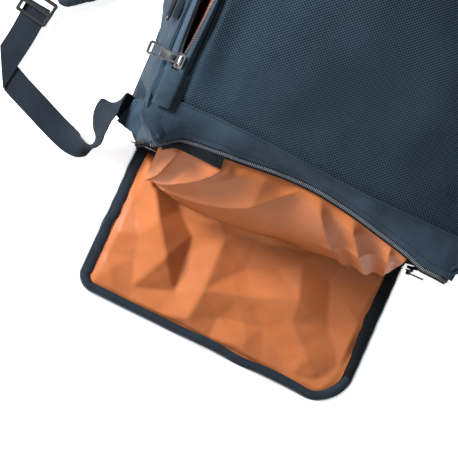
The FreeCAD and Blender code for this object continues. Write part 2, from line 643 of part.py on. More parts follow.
def make_left_strap():
    """Left shoulder strap, laid out on the ground beside the bag with its webbing twisted."""
    x = -FOOT_X - TAB_OUT + SEAT
    y = TAB_Y
    low = WEB_H / 2 + SEAT
    arch = [((x, y, 6.2), (0, -1, 0)), ((x - 7, y - 4, 16), (0.5, -0.9, 0)),
            ((x - 11, y - 14, 20), (0.95, -0.3, 0)), ((x - 9, y - 28, 17), (1, 0, 0.1)),
            ((x - 5, y - 41, 14), (0.85, 0.1, 0.5)), ((x - 8, y - 52, 13.6), (0.3, 0.1, 1)),
            ((x - 18, y - 59, 13.2), (0, -0.5, 0.9)), ((x - 32, y - 57, 7), (-0.2, -1, 0.35)),
            ((x - 50, y - 52, low), (-0.4, -1, 0))]
    run = smooth_band([(x - 50.5, y - 52), (x - 74, y - 42), (x - 100, y - 28), (x - 124.3, y - 12)],
                      lambda t: WEB_W, SEAT, SEAT + WEB_H)
    fold_z = 2 * SEAT + WEB_H
    back = smooth_band([(x - 123.3, y - 18), (x - 118.3, y + 6), (x - 112.3, y + 34), (x - 107.3, y + 60)],
                       lambda t: WEB_W, fold_z, fold_z + WEB_H)
    save("left_strap_webbing", ribbon(arch), run, back)
    save("left_ladder_lock", ladder_lock(x - 107.3, y + 56, fold_z + WEB_H + SEAT, -10))
    lock_half = WEB_W / 2 + LOCK_RAIL
    route = [(x - 114.7 + lock_half, y + 75.8), (x - 76.3, y + 98), (x - 56.3, y + 134), (x - 46.3, y + 206),
             (x - 48.3, -40), (x - 50.3, 80), (x - 44.3, STRAP_TOP_Y - 110), (x - 30.3, STRAP_TOP_Y - 38),
             (x - 24.3, STRAP_TOP_Y - 10)]
    save("left_shoulder_pad", smooth_band(route, pad_width, SEAT, SEAT + PAD_H))


def make_right_strap():
    """Right shoulder strap, laid straight beside the bag."""
    x = FOOT_X + TAB_OUT + 0.6
    y = TAB_Y
    web = smooth_band([(x - 3.8 + WEB_W / 2, y - 6), (x + 18, y + 26), (x + 26, y + 66), (x + 34, y + 106)],
                      lambda t: WEB_W, SEAT, SEAT + WEB_H)
    save("right_strap_webbing", web)
    save("right_ladder_lock", ladder_lock(x + 33, y + 102, 2 * SEAT + WEB_H, -10))
    route = [(x + 37, y + 115.8), (x + 44, y + 156), (x + 46, y + 206), (x + 46, -40), (x + 46, 80),
             (x + 42, STRAP_TOP_Y - 110), (x + 30, STRAP_TOP_Y - 38), (x + 23.4, STRAP_TOP_Y - 10)]
    save("right_shoulder_pad", smooth_band(route, pad_width, SEAT, SEAT + PAD_H))


def make_strap_anchors():
    """Lower tabs and upper anchors, sewn at the foot of the gussets."""
    tab = strap_tab(TAB_Y)
    save("strap_tab_left", tab)
    save("strap_tab_right", mirrored(tab))
    anchor = block(-FOOT_X - 0.2, -FOOT_X - 10, STRAP_TOP_Y - 30, STRAP_TOP_Y + 30, 2, 6)
    save("strap_anchors", anchor, mirrored(anchor))


def handle_loop(span, drop, width, thick):
    """Flat U-shaped webbing loop in the XZ plane, hanging down from z = 0."""
    outer_r = 18.0
    rail = block(-span / 2, span / 2, 0, thick, -drop, 0)
    corners = [e for e in rail.Edges
               if abs(e.tangentAt(e.FirstParameter).y) > 0.99 and e.CenterOfMass.z < -1]
    rail = rail.makeFillet(outer_r, corners)
    hole = block(-span / 2 + width, span / 2 - width, -1, thick + 1, -drop + width, 1)
    corners = [e for e in hole.Edges
               if abs(e.tangentAt(e.FirstParameter).y) > 0.99 and e.CenterOfMass.z < -1]
    hole = hole.makeFillet(outer_r - width * 0.4, corners)
    return rail.cut(hole)


def make_handles():
    """Haul handle on the top end and padded handle on the right gusset, with their anchors."""
    thick = 3.0
    haul = handle_loop(HANDLE_SPAN, HANDLE_DROP, 20, thick)
    haul.translate(V(0, HALF_LENGTH + 2 * SEAT, HANDLE_Z))
    save("haul_handle", haul)
    patches = []
    for sign in (-1, 1):
        mid = sign * (HANDLE_SPAN / 2 - 10)
        patches.append(block(mid - 12, mid + 12, HALF_LENGTH + 0.05, HALF_LENGTH + 4,
                             HANDLE_Z + ANCHOR_GAP, HANDLE_Z + 16))
    save("haul_handle_anchors", *patches)
    grip = handle_loop(HANDLE_SPAN, HANDLE_DROP, 20, thick)
    sleeve = block(-GRIP_LEN / 2, GRIP_LEN / 2, -4.0, thick + 4.0, -HANDLE_DROP - 4, -HANDLE_DROP + 24)
    inner = block(-GRIP_LEN, GRIP_LEN, -0.2, thick + 0.2, -HANDLE_DROP - 0.2, -HANDLE_DROP + 20.2)
    sleeve = sleeve.makeFillet(3.0, [e for e in sleeve.Edges
                                     if abs(e.tangentAt(e.FirstParameter).x) > 0.99]).cut(inner)
    side_patches = []
    wall_x = side_x(HANDLE_Z)
    for sign in (-1, 1):
        mid = sign * (HANDLE_SPAN / 2 - 10)
        side_patches.append(block(wall_x + 0.8, HALF_WIDTH + 2.7, mid - 12, mid + 12,
                                  HANDLE_Z + ANCHOR_GAP, HANDLE_Z + 16))
    for shape in (grip, sleeve):
        shape.rotate(V(0, 0, 0), V(0, 0, 1), -90)
        shape.translate(V(HALF_WIDTH + 5.0, 0, HANDLE_Z))
    save("side_handle", grip)
    save("side_handle_grip", sleeve)
    save("side_handle_anchors", *side_patches)


def make_rings():
    """Black D-ring in a sewn loop on each side, near the pocket end."""
    wall_x = side_x(RING_Z)
    centre_x = side_x(RING_Z - RING_R - RING_WIRE_R) + RING_WIRE_R + 2.0
    loop_r = RING_WIRE_R + 0.5
    bar_half = RING_R
    y = RING_Y
    tube = Part.makeCylinder(loop_r + 1.2, 18, V(-centre_x, y - 9, RING_Z), V(0, 1, 0))
    bore = Part.makeCylinder(loop_r, 22, V(-centre_x, y - 11, RING_Z), V(0, 1, 0))
    tail = block(-centre_x + loop_r, -wall_x - 0.1 + 1.0, y - 9, y + 9, RING_Z, RING_Z + 11)
    loop = tube.fuse(tail).cut(bore)
    loop = loop.cut(side_shell(0))
    save("ring_loop_left", loop)
    save("ring_loop_right", mirrored(loop))
    bar = Part.makeCylinder(RING_WIRE_R, 2 * bar_half, V(-centre_x, y - bar_half, RING_Z), V(0, 1, 0))
    bow = Part.makeTorus(RING_R, RING_WIRE_R, V(-centre_x, y, RING_Z), V(1, 0, 0))
    bow = bow.common(block(-centre_x - 5, -centre_x + 5, y - 20, y + 20, RING_Z - 20, RING_Z))
    ring = bar.fuse(bow)
    save("d_ring_left", ring)
    save("d_ring_right", mirrored(ring))


os.makedirs("parts", exist_ok=True)
make_back()
make_walls()
make_front()
make_shoulder_caps()
make_long_zips()
make_long_sliders()
make_main_lining()
make_pocket_lining()
make_pocket_zip()
make_flap()
make_curtain()
make_pocket_slider()
make_strap_anchors()
make_left_strap()
make_right_strap()
make_handles()
make_rings()
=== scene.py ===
import math

import bpy
import numpy as np
from mathutils import Matrix, Vector, geometry, noise


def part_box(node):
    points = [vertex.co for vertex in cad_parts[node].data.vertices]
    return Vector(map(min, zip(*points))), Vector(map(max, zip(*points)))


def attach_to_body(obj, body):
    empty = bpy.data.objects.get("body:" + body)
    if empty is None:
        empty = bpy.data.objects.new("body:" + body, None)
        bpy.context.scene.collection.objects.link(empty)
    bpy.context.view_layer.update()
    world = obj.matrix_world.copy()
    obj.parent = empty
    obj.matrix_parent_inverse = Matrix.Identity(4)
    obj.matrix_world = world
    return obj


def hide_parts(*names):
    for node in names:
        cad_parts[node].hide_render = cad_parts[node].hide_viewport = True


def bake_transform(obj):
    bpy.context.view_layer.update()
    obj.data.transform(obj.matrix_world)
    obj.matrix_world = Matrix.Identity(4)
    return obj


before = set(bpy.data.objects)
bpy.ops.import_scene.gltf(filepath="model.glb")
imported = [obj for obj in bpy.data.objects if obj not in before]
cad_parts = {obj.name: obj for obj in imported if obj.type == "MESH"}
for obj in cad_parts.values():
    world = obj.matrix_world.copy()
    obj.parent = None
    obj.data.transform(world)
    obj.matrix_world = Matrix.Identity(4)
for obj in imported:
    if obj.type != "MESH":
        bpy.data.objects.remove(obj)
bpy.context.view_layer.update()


# ---------------------------------------------------------------- studio
# A pale floor under the bag, soft light from above and to the left, and one camera that looks
# down on the pocket end and the left-hand strap.
bpy.ops.object.select_all(action="DESELECT")
bpy.ops.mesh.primitive_plane_add(size=8.0, location=(0, 0, -0.0006))
floor = bpy.context.object
floor.name = "studio_floor"
floor_paint = bpy.data.materials.new("studio_floor")
floor_paint.use_nodes = True
floor_shader = floor_paint.node_tree.nodes["Principled BSDF"]
floor_shader.inputs["Base Color"].default_value = (0.97, 0.97, 0.97, 1)
floor_shader.inputs["Roughness"].default_value = 0.9
floor_shader.inputs["Emission Color"].default_value = (1, 1, 1, 1)
floor_shader.inputs["Emission Strength"].default_value = 0.7
floor.data.materials.append(floor_paint)

world = bpy.data.worlds.new("studio")
world.use_nodes = True
world.node_tree.nodes["Background"].inputs["Color"].default_value = (0.95, 0.97, 1.0, 1)
world.node_tree.nodes["Background"].inputs["Strength"].default_value = 0.17
bpy.context.scene.world = world
bpy.context.scene.view_settings.view_transform = "Standard"

for lamp_name, place, aim, size, power, tint in (
        ("window_light", (-1.7, -0.02, 1.05), (-0.02, -0.40, 0.04), 0.55, 80, (0.93, 0.97, 1.0)),
        ("ceiling_light", (0.6, -0.8, 2.4), (0.15, -0.45, 0.0), 1.6, 15, (1.0, 0.98, 0.95))):
    bpy.ops.object.light_add(type="AREA", location=place)
    lamp = bpy.context.object
    lamp.name = lamp_name
    lamp.data.size = size
    lamp.data.energy = power
    lamp.data.color = tint
    lamp.rotation_euler = (Vector(aim) - Vector(place)).to_track_quat("-Z", "Y").to_euler()

CAMERA_AT = (-0.279, -0.436, 1.576)
SENSOR_MM, LENS_MM = 36.0, 125.8
view_along = Vector((0.156, 0.009, -0.988)).normalized()
view_right = view_along.cross(Vector((-0.398, 0.916, -0.055))).normalized()
view_up = view_right.cross(view_along)
camera = bpy.data.objects.new("camera", bpy.data.cameras.new("camera"))
bpy.context.scene.collection.objects.link(camera)
camera.matrix_world = Matrix.Translation(CAMERA_AT) @ Matrix(
    (view_right, view_up, -view_along)).transposed().to_4x4()
camera.data.sensor_width = SENSOR_MM
camera.data.lens = LENS_MM
bpy.context.scene.camera = camera


# ---------------------------------------------------------------- front panel
# The bag's crowned front: one padded panel of heavy diagonal-rib cloth, sewn along its four
# edges to the shoulders and the end strips.
def node_group(name, sockets):
    """Shader group with the named sockets; returns it with its two end nodes."""
    group = bpy.data.node_groups.new(name, "ShaderNodeTree")
    for socket_name, side, kind in sockets:
        group.interface.new_socket(name=socket_name, in_out=side, socket_type="NodeSocket" + kind)
    return group, group.nodes.new("NodeGroupInput"), group.nodes.new("NodeGroupOutput")


def math_node(tree, operation, first, second=None):
    """Math node whose inputs are sockets or plain numbers; returns its output."""
    node = tree.nodes.new("ShaderNodeMath")
    node.operation = operation
    for slot, value in enumerate((first, second)):
        if value is None:
            continue
        if isinstance(value, (int, float)):
            node.inputs[slot].default_value = value
        else:
            tree.links.new(value, node.inputs[slot])
    return node.outputs[0]


def weave_group():
    """Over-and-under threads: Tone is 1 on a thread's crown and 0 in the gaps."""
    group, start, end = node_group("thread_weave", (
        ("Vector", "INPUT", "Vector"), ("Pitch", "INPUT", "Float"), ("Tone", "OUTPUT", "Float")))
    parts = group.nodes.new("ShaderNodeSeparateXYZ")
    group.links.new(start.outputs["Vector"], parts.inputs[0])
    waves = []
    for axis in ("X", "Y"):
        turns = math_node(group, "DIVIDE", parts.outputs[axis], start.outputs["Pitch"])
        waves.append(math_node(group, "SINE", math_node(group, "MULTIPLY", turns, 2 * math.pi)))
    crossed = math_node(group, "MULTIPLY", waves[0], waves[1])
    tone = math_node(group, "MULTIPLY", math_node(group, "ADD", crossed, 1.0), 0.5)
    group.links.new(tone, end.inputs["Tone"])
    return group


def mottle_group():
    """Uneven dye and handling marks: a soft cloud with finer grain in it."""
    group, start, end = node_group("cloth_mottle", (
        ("Vector", "INPUT", "Vector"), ("Size", "INPUT", "Float"), ("Tone", "OUTPUT", "Float")))
    scale = math_node(group, "DIVIDE", 1.0, start.outputs["Size"])
    cloud = group.nodes.new("ShaderNodeTexNoise")
    cloud.inputs["Detail"].default_value = 5.0
    cloud.inputs["Roughness"].default_value = 0.62
    group.links.new(start.outputs["Vector"], cloud.inputs["Vector"])
    group.links.new(scale, cloud.inputs["Scale"])
    group.links.new(cloud.outputs["Fac"], end.inputs["Tone"])
    return group


THREADS = weave_group()
MOTTLE = mottle_group()


def weave_or_mottle(tree, group, setting, value, place):
    """Shared node group in a material, with its one setting; returns its Tone."""
    node = tree.nodes.new("ShaderNodeGroup")
    node.node_tree = group
    node.inputs[setting].default_value = value
    tree.links.new(place, node.inputs["Vector"])
    return node.outputs["Tone"]


def tone_colour_and_relief(tree, tone, low, colours, rough, bump, depth):
    """Base colour, roughness and relief, all from one tone; colours change from low to 1 - low."""
    shader = tree.nodes["Principled BSDF"]
    ramp = tree.nodes.new("ShaderNodeValToRGB")
    for element, position, colour in zip(ramp.color_ramp.elements, (low, 1 - low), colours):
        element.position = position
        element.color = (*colour, 1)
    gloss = tree.nodes.new("ShaderNodeMapRange")
    gloss.inputs["To Min"].default_value, gloss.inputs["To Max"].default_value = rough
    relief = tree.nodes.new("ShaderNodeBump")
    relief.inputs["Strength"].default_value = bump
    relief.inputs["Distance"].default_value = depth
    for node, taken, given, target in ((ramp, "Fac", "Color", "Base Color"),
                                       (gloss, "Value", "Result", "Roughness"),
                                       (relief, "Height", "Normal", "Normal")):
        tree.links.new(tone, node.inputs[taken])
        tree.links.new(node.outputs[given], shader.inputs[target])


def cloth_material(name, dark, light, pitch, turn=0.0, stretch=1.0, mottle=0.03, rough=(0.75, 0.9),
                   bump=0.35, depth=0.0006, weave_share=0.6, sheen=0.15, shine=0.15, source="UV"):
    """Woven cloth: threads at a pitch in metres, uneven dye, and fine relief; the threads' crowns are painted
    lighter as highlights and their gaps darker as shade.
    """
    material = bpy.data.materials.new(name)
    material.use_nodes = True
    tree = material.node_tree
    shader = tree.nodes["Principled BSDF"]
    shader.inputs["Sheen Weight"].default_value = sheen
    shader.inputs["Sheen Roughness"].default_value = 0.45
    shader.inputs["Specular IOR Level"].default_value = shine
    place = tree.nodes.new("ShaderNodeTexCoord")
    mapping = tree.nodes.new("ShaderNodeMapping")
    mapping.inputs["Rotation"].default_value = (0, 0, turn)
    mapping.inputs["Scale"].default_value = (stretch, 1.0, 1.0)
    tree.links.new(place.outputs[source], mapping.inputs["Vector"])
    threads = weave_or_mottle(tree, THREADS, "Pitch", pitch, mapping.outputs["Vector"])
    dye = weave_or_mottle(tree, MOTTLE, "Size", mottle, place.outputs["Object"])
    fleck = weave_or_mottle(tree, MOTTLE, "Size", pitch * 1.3, place.outputs["Object"])
    # The threads' tone also sets the base colour: painted highlight on their crowns, painted shade in the
    # gaps between them.
    woven = math_node(tree, "MULTIPLY", threads, weave_share)
    cloudy = math_node(tree, "MULTIPLY", dye, (1 - weave_share) * 0.9)
    flecked = math_node(tree, "MULTIPLY", fleck, (1 - weave_share) * 0.6)
    total = math_node(tree, "ADD", math_node(tree, "ADD", woven, cloudy), flecked)
    tone_colour_and_relief(tree, total, 0.22, (dark, light), (rough[1], rough[0]), bump, depth)
    return material


# Rib cloth: its light colour is mostly painted highlight on the thread crowns and its dark colour painted
# shade in the gaps, with uneven dye over both.
RIB_CLOTH = cloth_material("rib_cloth", (0.0010, 0.0024, 0.0045), (0.031, 0.054, 0.078), 0.0030,
                           stretch=0.9, mottle=0.11, bump=0.9, depth=0.0008, weave_share=0.70,
                           rough=(0.6, 0.9), sheen=0.02, shine=0.1)


def pick(piece):
    """Make a piece the only one selected, and the active one."""
    bpy.ops.object.select_all(action="DESELECT")
    piece.select_set(True)
    bpy.context.view_layer.objects.active = piece


def modify(piece, name, kind, **settings):
    """Add a modifier to the active piece and apply it."""
    modifier = piece.modifiers.new(name, kind)
    for setting, value in settings.items():
        setattr(modifier, setting, value)
    bpy.ops.object.modifier_apply(modifier=name)


def cloth(name, size_u, size_v, columns, rows, place, thick, material, flip=False):
    """Sheet of cloth: a grid whose points are placed by place(u, v), with u and v from 0 to 1."""
    bpy.ops.object.select_all(action="DESELECT")
    bpy.ops.mesh.primitive_grid_add(x_subdivisions=columns, y_subdivisions=rows, size=2)
    piece = bpy.context.object
    piece.name = name
    for vertex in piece.data.vertices:
        u, v = (vertex.co.x + 1) / 2, (vertex.co.y + 1) / 2
        vertex.co = place(u, v)
    for corner in piece.data.uv_layers.active.data:
        corner.uv = (corner.uv[0] * size_u, corner.uv[1] * size_v)
    if flip:
        piece.data.flip_normals()
    if thick > 0:
        modify(piece, "wall", "SOLIDIFY", thickness=thick, offset=-1.0)
    finish_piece(piece, material)
    return piece


def finish_piece(piece, material, angle=50):
    """Material and smooth shading, the same for every sewn piece."""
    piece.data.materials.clear()
    piece.data.materials.append(material)
    pick(piece)
    bpy.ops.object.shade_smooth_by_angle(angle=math.radians(angle))


def attach(piece, body, slot, *nodes):
    """The body that a piece rides on, its material slot, which is not used, and the solids it stands for."""
    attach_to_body(piece, body)
    if nodes:
        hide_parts(*nodes)


def crumple(x, y, size, seed):
    """Sharp-edged creases, from 0 in the flats to 1 on a fold."""
    folded = noise.noise(Vector((x / size, y / size, seed)))
    return (1 - abs(folded) * 2) ** 2


def billow(x, y, size, seed):
    """Soft swelling, from about -1 to 1."""
    return noise.noise(Vector((x / size, y / size, seed + 11.5)))


def rim(t):
    """Distance from the nearer end of 0 to 1."""
    return min(t, 1 - t)


def smooth(low, high, value):
    """0 below low, 1 above high, eased between."""
    t = min(1.0, max(0.0, (value - low) / (high - low)))
    return t * t * (3 - 2 * t)


FRONT_X, FRONT_Y, CROWN_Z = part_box("front_panel")[1]
CROWN_RISE = 0.027
SHOULDER_Z = CROWN_Z - CROWN_RISE


def crown(x, y):
    """Height of the front's outer face, without its puckers."""
    across = max(0.0, 1 - (x / FRONT_X) ** 2)
    along = 1 - 0.55 * (y / FRONT_Y) ** 2
    return SHOULDER_Z + CROWN_RISE * across * along


def seam_shift(x):
    """How far the front's seam at the pocket end runs up the bag, towards its left."""
    return 0.009 * smooth(0.06, -0.12, x)


def front_place(u, v):
    x = (2 * u - 1) * FRONT_X
    y = (2 * v - 1) * FRONT_Y + seam_shift(x) * smooth(0.12, 0.0, v)
    inside = smooth(0, 0.1, rim(u)) * smooth(0, 0.05, rim(v))
    dent = 0.0105 * billow(x, y * 0.8, 0.10, 1) + 0.0026 * billow(x, y, 0.045, 2)
    pucker = 0.0012 * crumple(x, y, 0.05, 3) * smooth(0.35, 0.0, rim(u))
    sunk = 0.003 * (1 - smooth(0, 0.02, rim(u))) + 0.003 * (1 - smooth(0, 0.009, rim(v)))
    return (x, y, crown(x, y) + (dent + pucker) * inside - sunk)


front_cover = cloth("front_cover", 2 * FRONT_X, 2 * FRONT_Y, 116, 270, front_place, 0.004, RIB_CLOTH)
attach(front_cover, "bag", "ripstop_dobby", "front_panel")


# ---------------------------------------------------------------- end strips
# Smooth folded strips at both ends of the front, topstitched 4 mm from their folded edges.
# The one over the pocket sags back at its middle, with the pocket's zipper hanging under it.
BAG_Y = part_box("gusset_left")[1][1]
MOUTH_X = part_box("pocket_lining_floor")[1][0]
STRIP_EDGE_Z = SHOULDER_Z - 0.010
SAG_Y = 0.0215
STRIP_PAST = 0.008
ROLL_FROM = 0.88
SMOOTH_CLOTH = cloth_material("smooth_cloth", (0.004, 0.008, 0.013), (0.034, 0.056, 0.082), 0.0012,
                              mottle=0.03, bump=0.6, depth=0.0003, weave_share=0.25, sheen=0.03)


def arch(t):
    """0 at both ends of 0 to 1, and 1 at the middle."""
    return math.sin(math.pi * t)


def mouth_sag(x):
    """How far the pocket's top edge is pulled back along the bag at x."""
    return SAG_Y * max(0.0, 1 - ((x + 0.028) / 0.15) ** 2) ** 0.9 * smooth(-0.158, -0.126, x)


def lip(x, down=0.0):
    """Point on the folded edge over the pocket's mouth."""
    lift = 0.0015 * math.sin(x * 60) + 0.0012 * math.sin(x * 133 + 1)
    ends = 0.0055 * smooth(0.03, 0.14, x) + 0.0035 * smooth(-0.125, -0.148, x)
    y = -BAG_Y + 0.0042 + mouth_sag(x) - ends + 0.0012 * math.sin(x * 48 + 2)
    z = STRIP_EDGE_Z - 0.004 + 0.006 * max(0.0, 1 - (x / 0.15) ** 2) + lift - down
    return Vector((x, y, z))


def end_height(x, y):
    """Height of an end strip's seam to the front."""
    return crown(min(max(x, -FRONT_X), FRONT_X), y) - 0.002


def pocket_strip_place(u, v):
    x = (2 * u - 1) * (FRONT_X + STRIP_PAST)
    seam = Vector((x, -FRONT_Y - 0.0005 + seam_shift(x), end_height(x, -FRONT_Y)))
    edge = lip(x)
    if v > ROLL_FROM:
        roll = (v - ROLL_FROM) / 0.12 * math.pi * 0.8
        return edge + Vector((0, -0.0018 * math.sin(roll), -0.0022 * (1 - math.cos(roll))))
    t = v / ROLL_FROM
    bow = 0.004 * arch(t) * (0.7 + 0.3 * math.sin(x * 37))
    point = seam.lerp(edge, t)
    point.z += bow + 0.0018 * billow(x, point.y * 0.5, 0.022, 8) * arch(t)
    return point


pocket_strip = cloth("pocket_end_facing", 0.30, 0.040, 150, 26, pocket_strip_place, 0.0022, SMOOTH_CLOTH,
                     flip=True)
attach(pocket_strip, "bag", "smooth_slate", "pocket_end_strip")


def top_strip_place(u, v):
    x = (2 * u - 1) * (FRONT_X + STRIP_PAST)
    start = end_height(x, FRONT_Y)
    t = smooth(0.0, 1.0, v)
    y = FRONT_Y + (BAG_Y - 0.002 - FRONT_Y) * v
    return (x, y, start + (STRIP_EDGE_Z - 0.003 - start) * t * v + 0.003 * arch(v))


top_strip = cloth("top_end_facing", 0.30, 0.04, 120, 18, top_strip_place, 0.002, SMOOTH_CLOTH)
attach(top_strip, "bag", "smooth_slate", "top_end_strip")


def copies(name, base_op, line, step, up, material, body, slot, *nodes):
    """One mesh of small copies a step apart along a line; base_op adds the one they repeat."""
    bpy.ops.object.select_all(action="DESELECT")
    base_op()
    base = bpy.context.object
    points = np.array([v.co[:] for v in base.data.vertices])
    faces = [tuple(f.vertices) for f in base.data.polygons]
    bpy.data.objects.remove(base)
    all_points = []
    all_faces = []
    for number, (point, along) in enumerate(spaced(line, step)):
        spot = stand(point, along, up)
        turn = np.array(spot.to_3x3())
        all_points.append(points @ turn.T + np.array(spot.translation))
        shift = number * len(points)
        all_faces.extend(tuple(i + shift for i in face) for face in faces)
    mesh = bpy.data.meshes.new(name)
    mesh.from_pydata(np.concatenate(all_points).tolist(), [], all_faces)
    piece = bpy.data.objects.new(name, mesh)
    bpy.context.scene.collection.objects.link(piece)
    finish_piece(piece, material, 80)
    attach(piece, body, slot, *nodes)


def spaced(points, step):
    """Points a fixed step apart along a line of points, each with its direction."""
    line = [Vector(p) for p in points]
    found = []
    left = step / 2
    for a, b in zip(line, line[1:]):
        span = (b - a).length
        while left <= span:
            found.append((a.lerp(b, left / span), (b - a).normalized()))
            left += step
        left -= span
    return found


def stand(point, along, up):
    """Matrix with X along a line and Z towards up."""
    side = up.cross(along).normalized()
    top = along.cross(side)
    return Matrix.Translation(point) @ Matrix((along, side, top)).transposed().to_4x4()


UP = Vector((0, 0, 1))


def stitch_row(name, points, body, up=UP):
    """Row of lockstitches, each a small sunken capsule of thread."""
    def one():
        bpy.ops.mesh.primitive_uv_sphere_add(segments=6, ring_count=4, radius=1)
        bpy.context.object.data.transform(Matrix.Diagonal((STITCH_LENGTH / 2, 0.00042, 0.0004, 1)))
    copies(name, one, points, STITCH_STEP, up, THREAD, body, "webbing")


STITCH_STEP = 0.0034
STITCH_LENGTH = 0.0023
THREAD = cloth_material("sewing_thread", (0.004, 0.005, 0.006), (0.02, 0.024, 0.03), 0.0005,
                        bump=0.2, depth=0.0001, source="Object")
lip_xs = [(-1 + i / 60) * 0.15 for i in range(121)]
edge_row = [pocket_strip_place(0.5 + x / (2 * (FRONT_X + STRIP_PAST)), 0.77)
            for x in lip_xs if abs(x) < 0.149]
stitch_row("pocket_edge_stitching", [point + Vector((0, 0, 0.0002)) for point in edge_row], "bag")
for end_name, end_y in (("pocket", -FRONT_Y), ("top", FRONT_Y)):
    seam_line = []
    for i in range(81):
        x = (-1 + i / 40) * (FRONT_X - 0.002)
        shift = seam_shift(x) if end_y < 0 else 0.0
        seam_line.append((x, end_y * 1.006 + shift, crown(x, FRONT_Y) - 0.0008))
    stitch_row(end_name + "_seam_stitching", seam_line, "bag")


# ---------------------------------------------------------------- pocket zipper, bag half
# Black woven tape sewn under the folded edge and down both sides of the mouth, carrying
# a moulded coil along its free edge.
TAPE_THICK = 0.0008
COIL_PITCH = 0.00165
SIDES = ((-1, "left"), (1, "right"))
TAPE_CLOTH = cloth_material("zipper_tape", (0.002, 0.002, 0.003), (0.010, 0.012, 0.015), 0.0012,
                            turn=0.78, bump=0.4, depth=0.0003, weave_share=0.7, sheen=0.02)
COIL = cloth_material("zipper_coil", (0.05, 0.055, 0.062), (0.24, 0.26, 0.29), 0.0009, bump=0.2,
                      depth=0.0002, rough=(0.25, 0.4), sheen=0.0, source="Object")


def tooth(reach=0.00155):
    """One turn of the coil: a fat bent bead across the tape's edge."""
    bpy.ops.mesh.primitive_uv_sphere_add(segments=8, ring_count=5, radius=1)
    bpy.context.object.data.transform(Matrix.Diagonal((0.00052, reach, 0.00115, 1)))


def mouth_tape_place(u, v):
    x = (2 * u - 1) * (MOUTH_X + 0.003)
    start = lip(x, 0.0035)
    drop = smooth(0.9, 1.0, abs(2 * u - 1)) * 0.008
    return start + Vector((0, -0.0072 * v, -0.0030 * v - drop * v))


mouth_tape = cloth("pocket_zip_top_tape", 0.3, 0.009, 150, 6, mouth_tape_place, TAPE_THICK, TAPE_CLOTH,
                   flip=True)
attach(mouth_tape, "bag", "zip_tape", "pocket_zip_tapes")
coil_line = [mouth_tape_place(i / 150, 0.55) + Vector((0, 0, 0.0010)) for i in range(151)]
copies("pocket_zip_top_coil", lambda: tooth(0.0021), coil_line, COIL_PITCH, Vector((0, -0.5, 1)),
       COIL, "bag", "zip_coil", "pocket_zip_coils")
SIDE_TAPE_TOP = mouth_tape_place(0.0, 1.0).z
for side, word in SIDES:
    def side_tape_place(u, v, side=side):
        x = side * (MOUTH_X + 0.0008 + 0.008 * u)
        z = 0.014 + (SIDE_TAPE_TOP - 0.014) * v
        return Vector((x, -BAG_Y - 0.0002 - 0.0005 * math.sin(v * 9 + side), z))
    side_tape = cloth("pocket_zip_tape_" + word, 0.008, 0.14, 5, 60, side_tape_place, TAPE_THICK, TAPE_CLOTH,
                      flip=side > 0)
    attach(side_tape, "bag", "zip_tape")
    line = [side_tape_place(0.25, i / 60) + Vector((0, -0.0018, 0)) for i in range(61)]
    copies("pocket_zip_coil_" + word, tooth, line, COIL_PITCH, Vector((0, -1, 0)), TAPE_CLOTH, "bag",
           "zip_coil")


# ---------------------------------------------------------------- gussets and corner cheeks
# Smooth padded sides that bulge at half height and turn the corners to the pocket's mouth and
# to the top end. The corners at the pocket end are pinched in where the strap tabs pull.
GUSSET_X = -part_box("gusset_left")[0][0]
GUSSET_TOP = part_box("gusset_left")[1][2]
WIDEST_Z = 0.09
FOOT_IN = 0.011
TOP_IN = 0.013
CORNER_R = 0.040
END_HALF = GUSSET_X - CORNER_R
# The gussets and shoulder caps are the same smooth slate cloth as the end strips, painted darker as shade so
# that the sides facing the window light stay dark.
SHADED_SLATE_CLOTH = cloth_material("slate_cloth_painted_shade", (0.003, 0.006, 0.010), (0.024, 0.040, 0.060), 0.0012,
                            mottle=0.03, bump=0.6, depth=0.0003, weave_share=0.25, sheen=0.03)


def plan_path(s):
    """Point and outward direction along a gusset's plan, from the mouth (0) to the top end (1)."""
    arc = CORNER_R * math.pi / 2
    skipped = CORNER_R * math.asin((MOUTH_X - END_HALF) / CORNER_R)
    straight = 2 * (BAG_Y - CORNER_R)
    d = skipped + s * (2 * arc + straight - skipped)
    if d < arc:
        a = d / CORNER_R
        x, y = END_HALF + CORNER_R * math.sin(a), -BAG_Y + CORNER_R * (1 - math.cos(a))
        return x, y, math.sin(a), -math.cos(a)
    if d < arc + straight:
        return GUSSET_X, -BAG_Y + CORNER_R + d - arc, 1.0, 0.0
    a = min(math.pi / 2, (d - arc - straight) / CORNER_R)
    x = END_HALF + CORNER_R * math.cos(a)
    return x, BAG_Y - CORNER_R + CORNER_R * math.sin(a), math.cos(a), math.sin(a)


def side_inset(z):
    """How far the side lies inside its widest point at height z."""
    if z < WIDEST_Z:
        return FOOT_IN * ((WIDEST_Z - z) / WIDEST_Z) ** 2
    return TOP_IN * ((z - WIDEST_Z) / (GUSSET_TOP - WIDEST_Z)) ** 2


def gusset_point(side, s, z):
    """Outer face of a gusset, with its pinched corner and hanging creases."""
    x, y, nx, ny = plan_path(s)
    waist = smooth(0.0, 0.03, z) * (1 - smooth(0.115, GUSSET_TOP - 0.003, z))
    at_mouth = smooth(0.0, 0.030, math.hypot(x - MOUTH_X, y + BAG_Y))
    pinch = 0.009 * smooth(-0.245, -0.295, y) + 0.014 * smooth(-0.322, -0.348, y)
    pinch += 0.004 * math.exp(-((y + 0.340) / 0.007) ** 2)
    wave = 0.0034 * billow(y * 1.4, z, 0.06, 5 * side) + 0.0030 * crumple(y * 1.3, z * 0.7, 0.055, 7 * side)
    near_end = smooth(-0.24, -0.33, y)
    wave += 0.0050 * near_end * (crumple(y * 1.6 + z * 0.2, z * 0.35, 0.05, 9 * side) - 0.5)
    held = smooth(0, 0.02, z) * smooth(0, 0.012, GUSSET_TOP - z) * at_mouth
    inward = side_inset(z) + pinch * waist * at_mouth - wave * held * 0.8
    return Vector((side * (x - nx * inward), y - ny * inward * 0.6 * at_mouth, z))


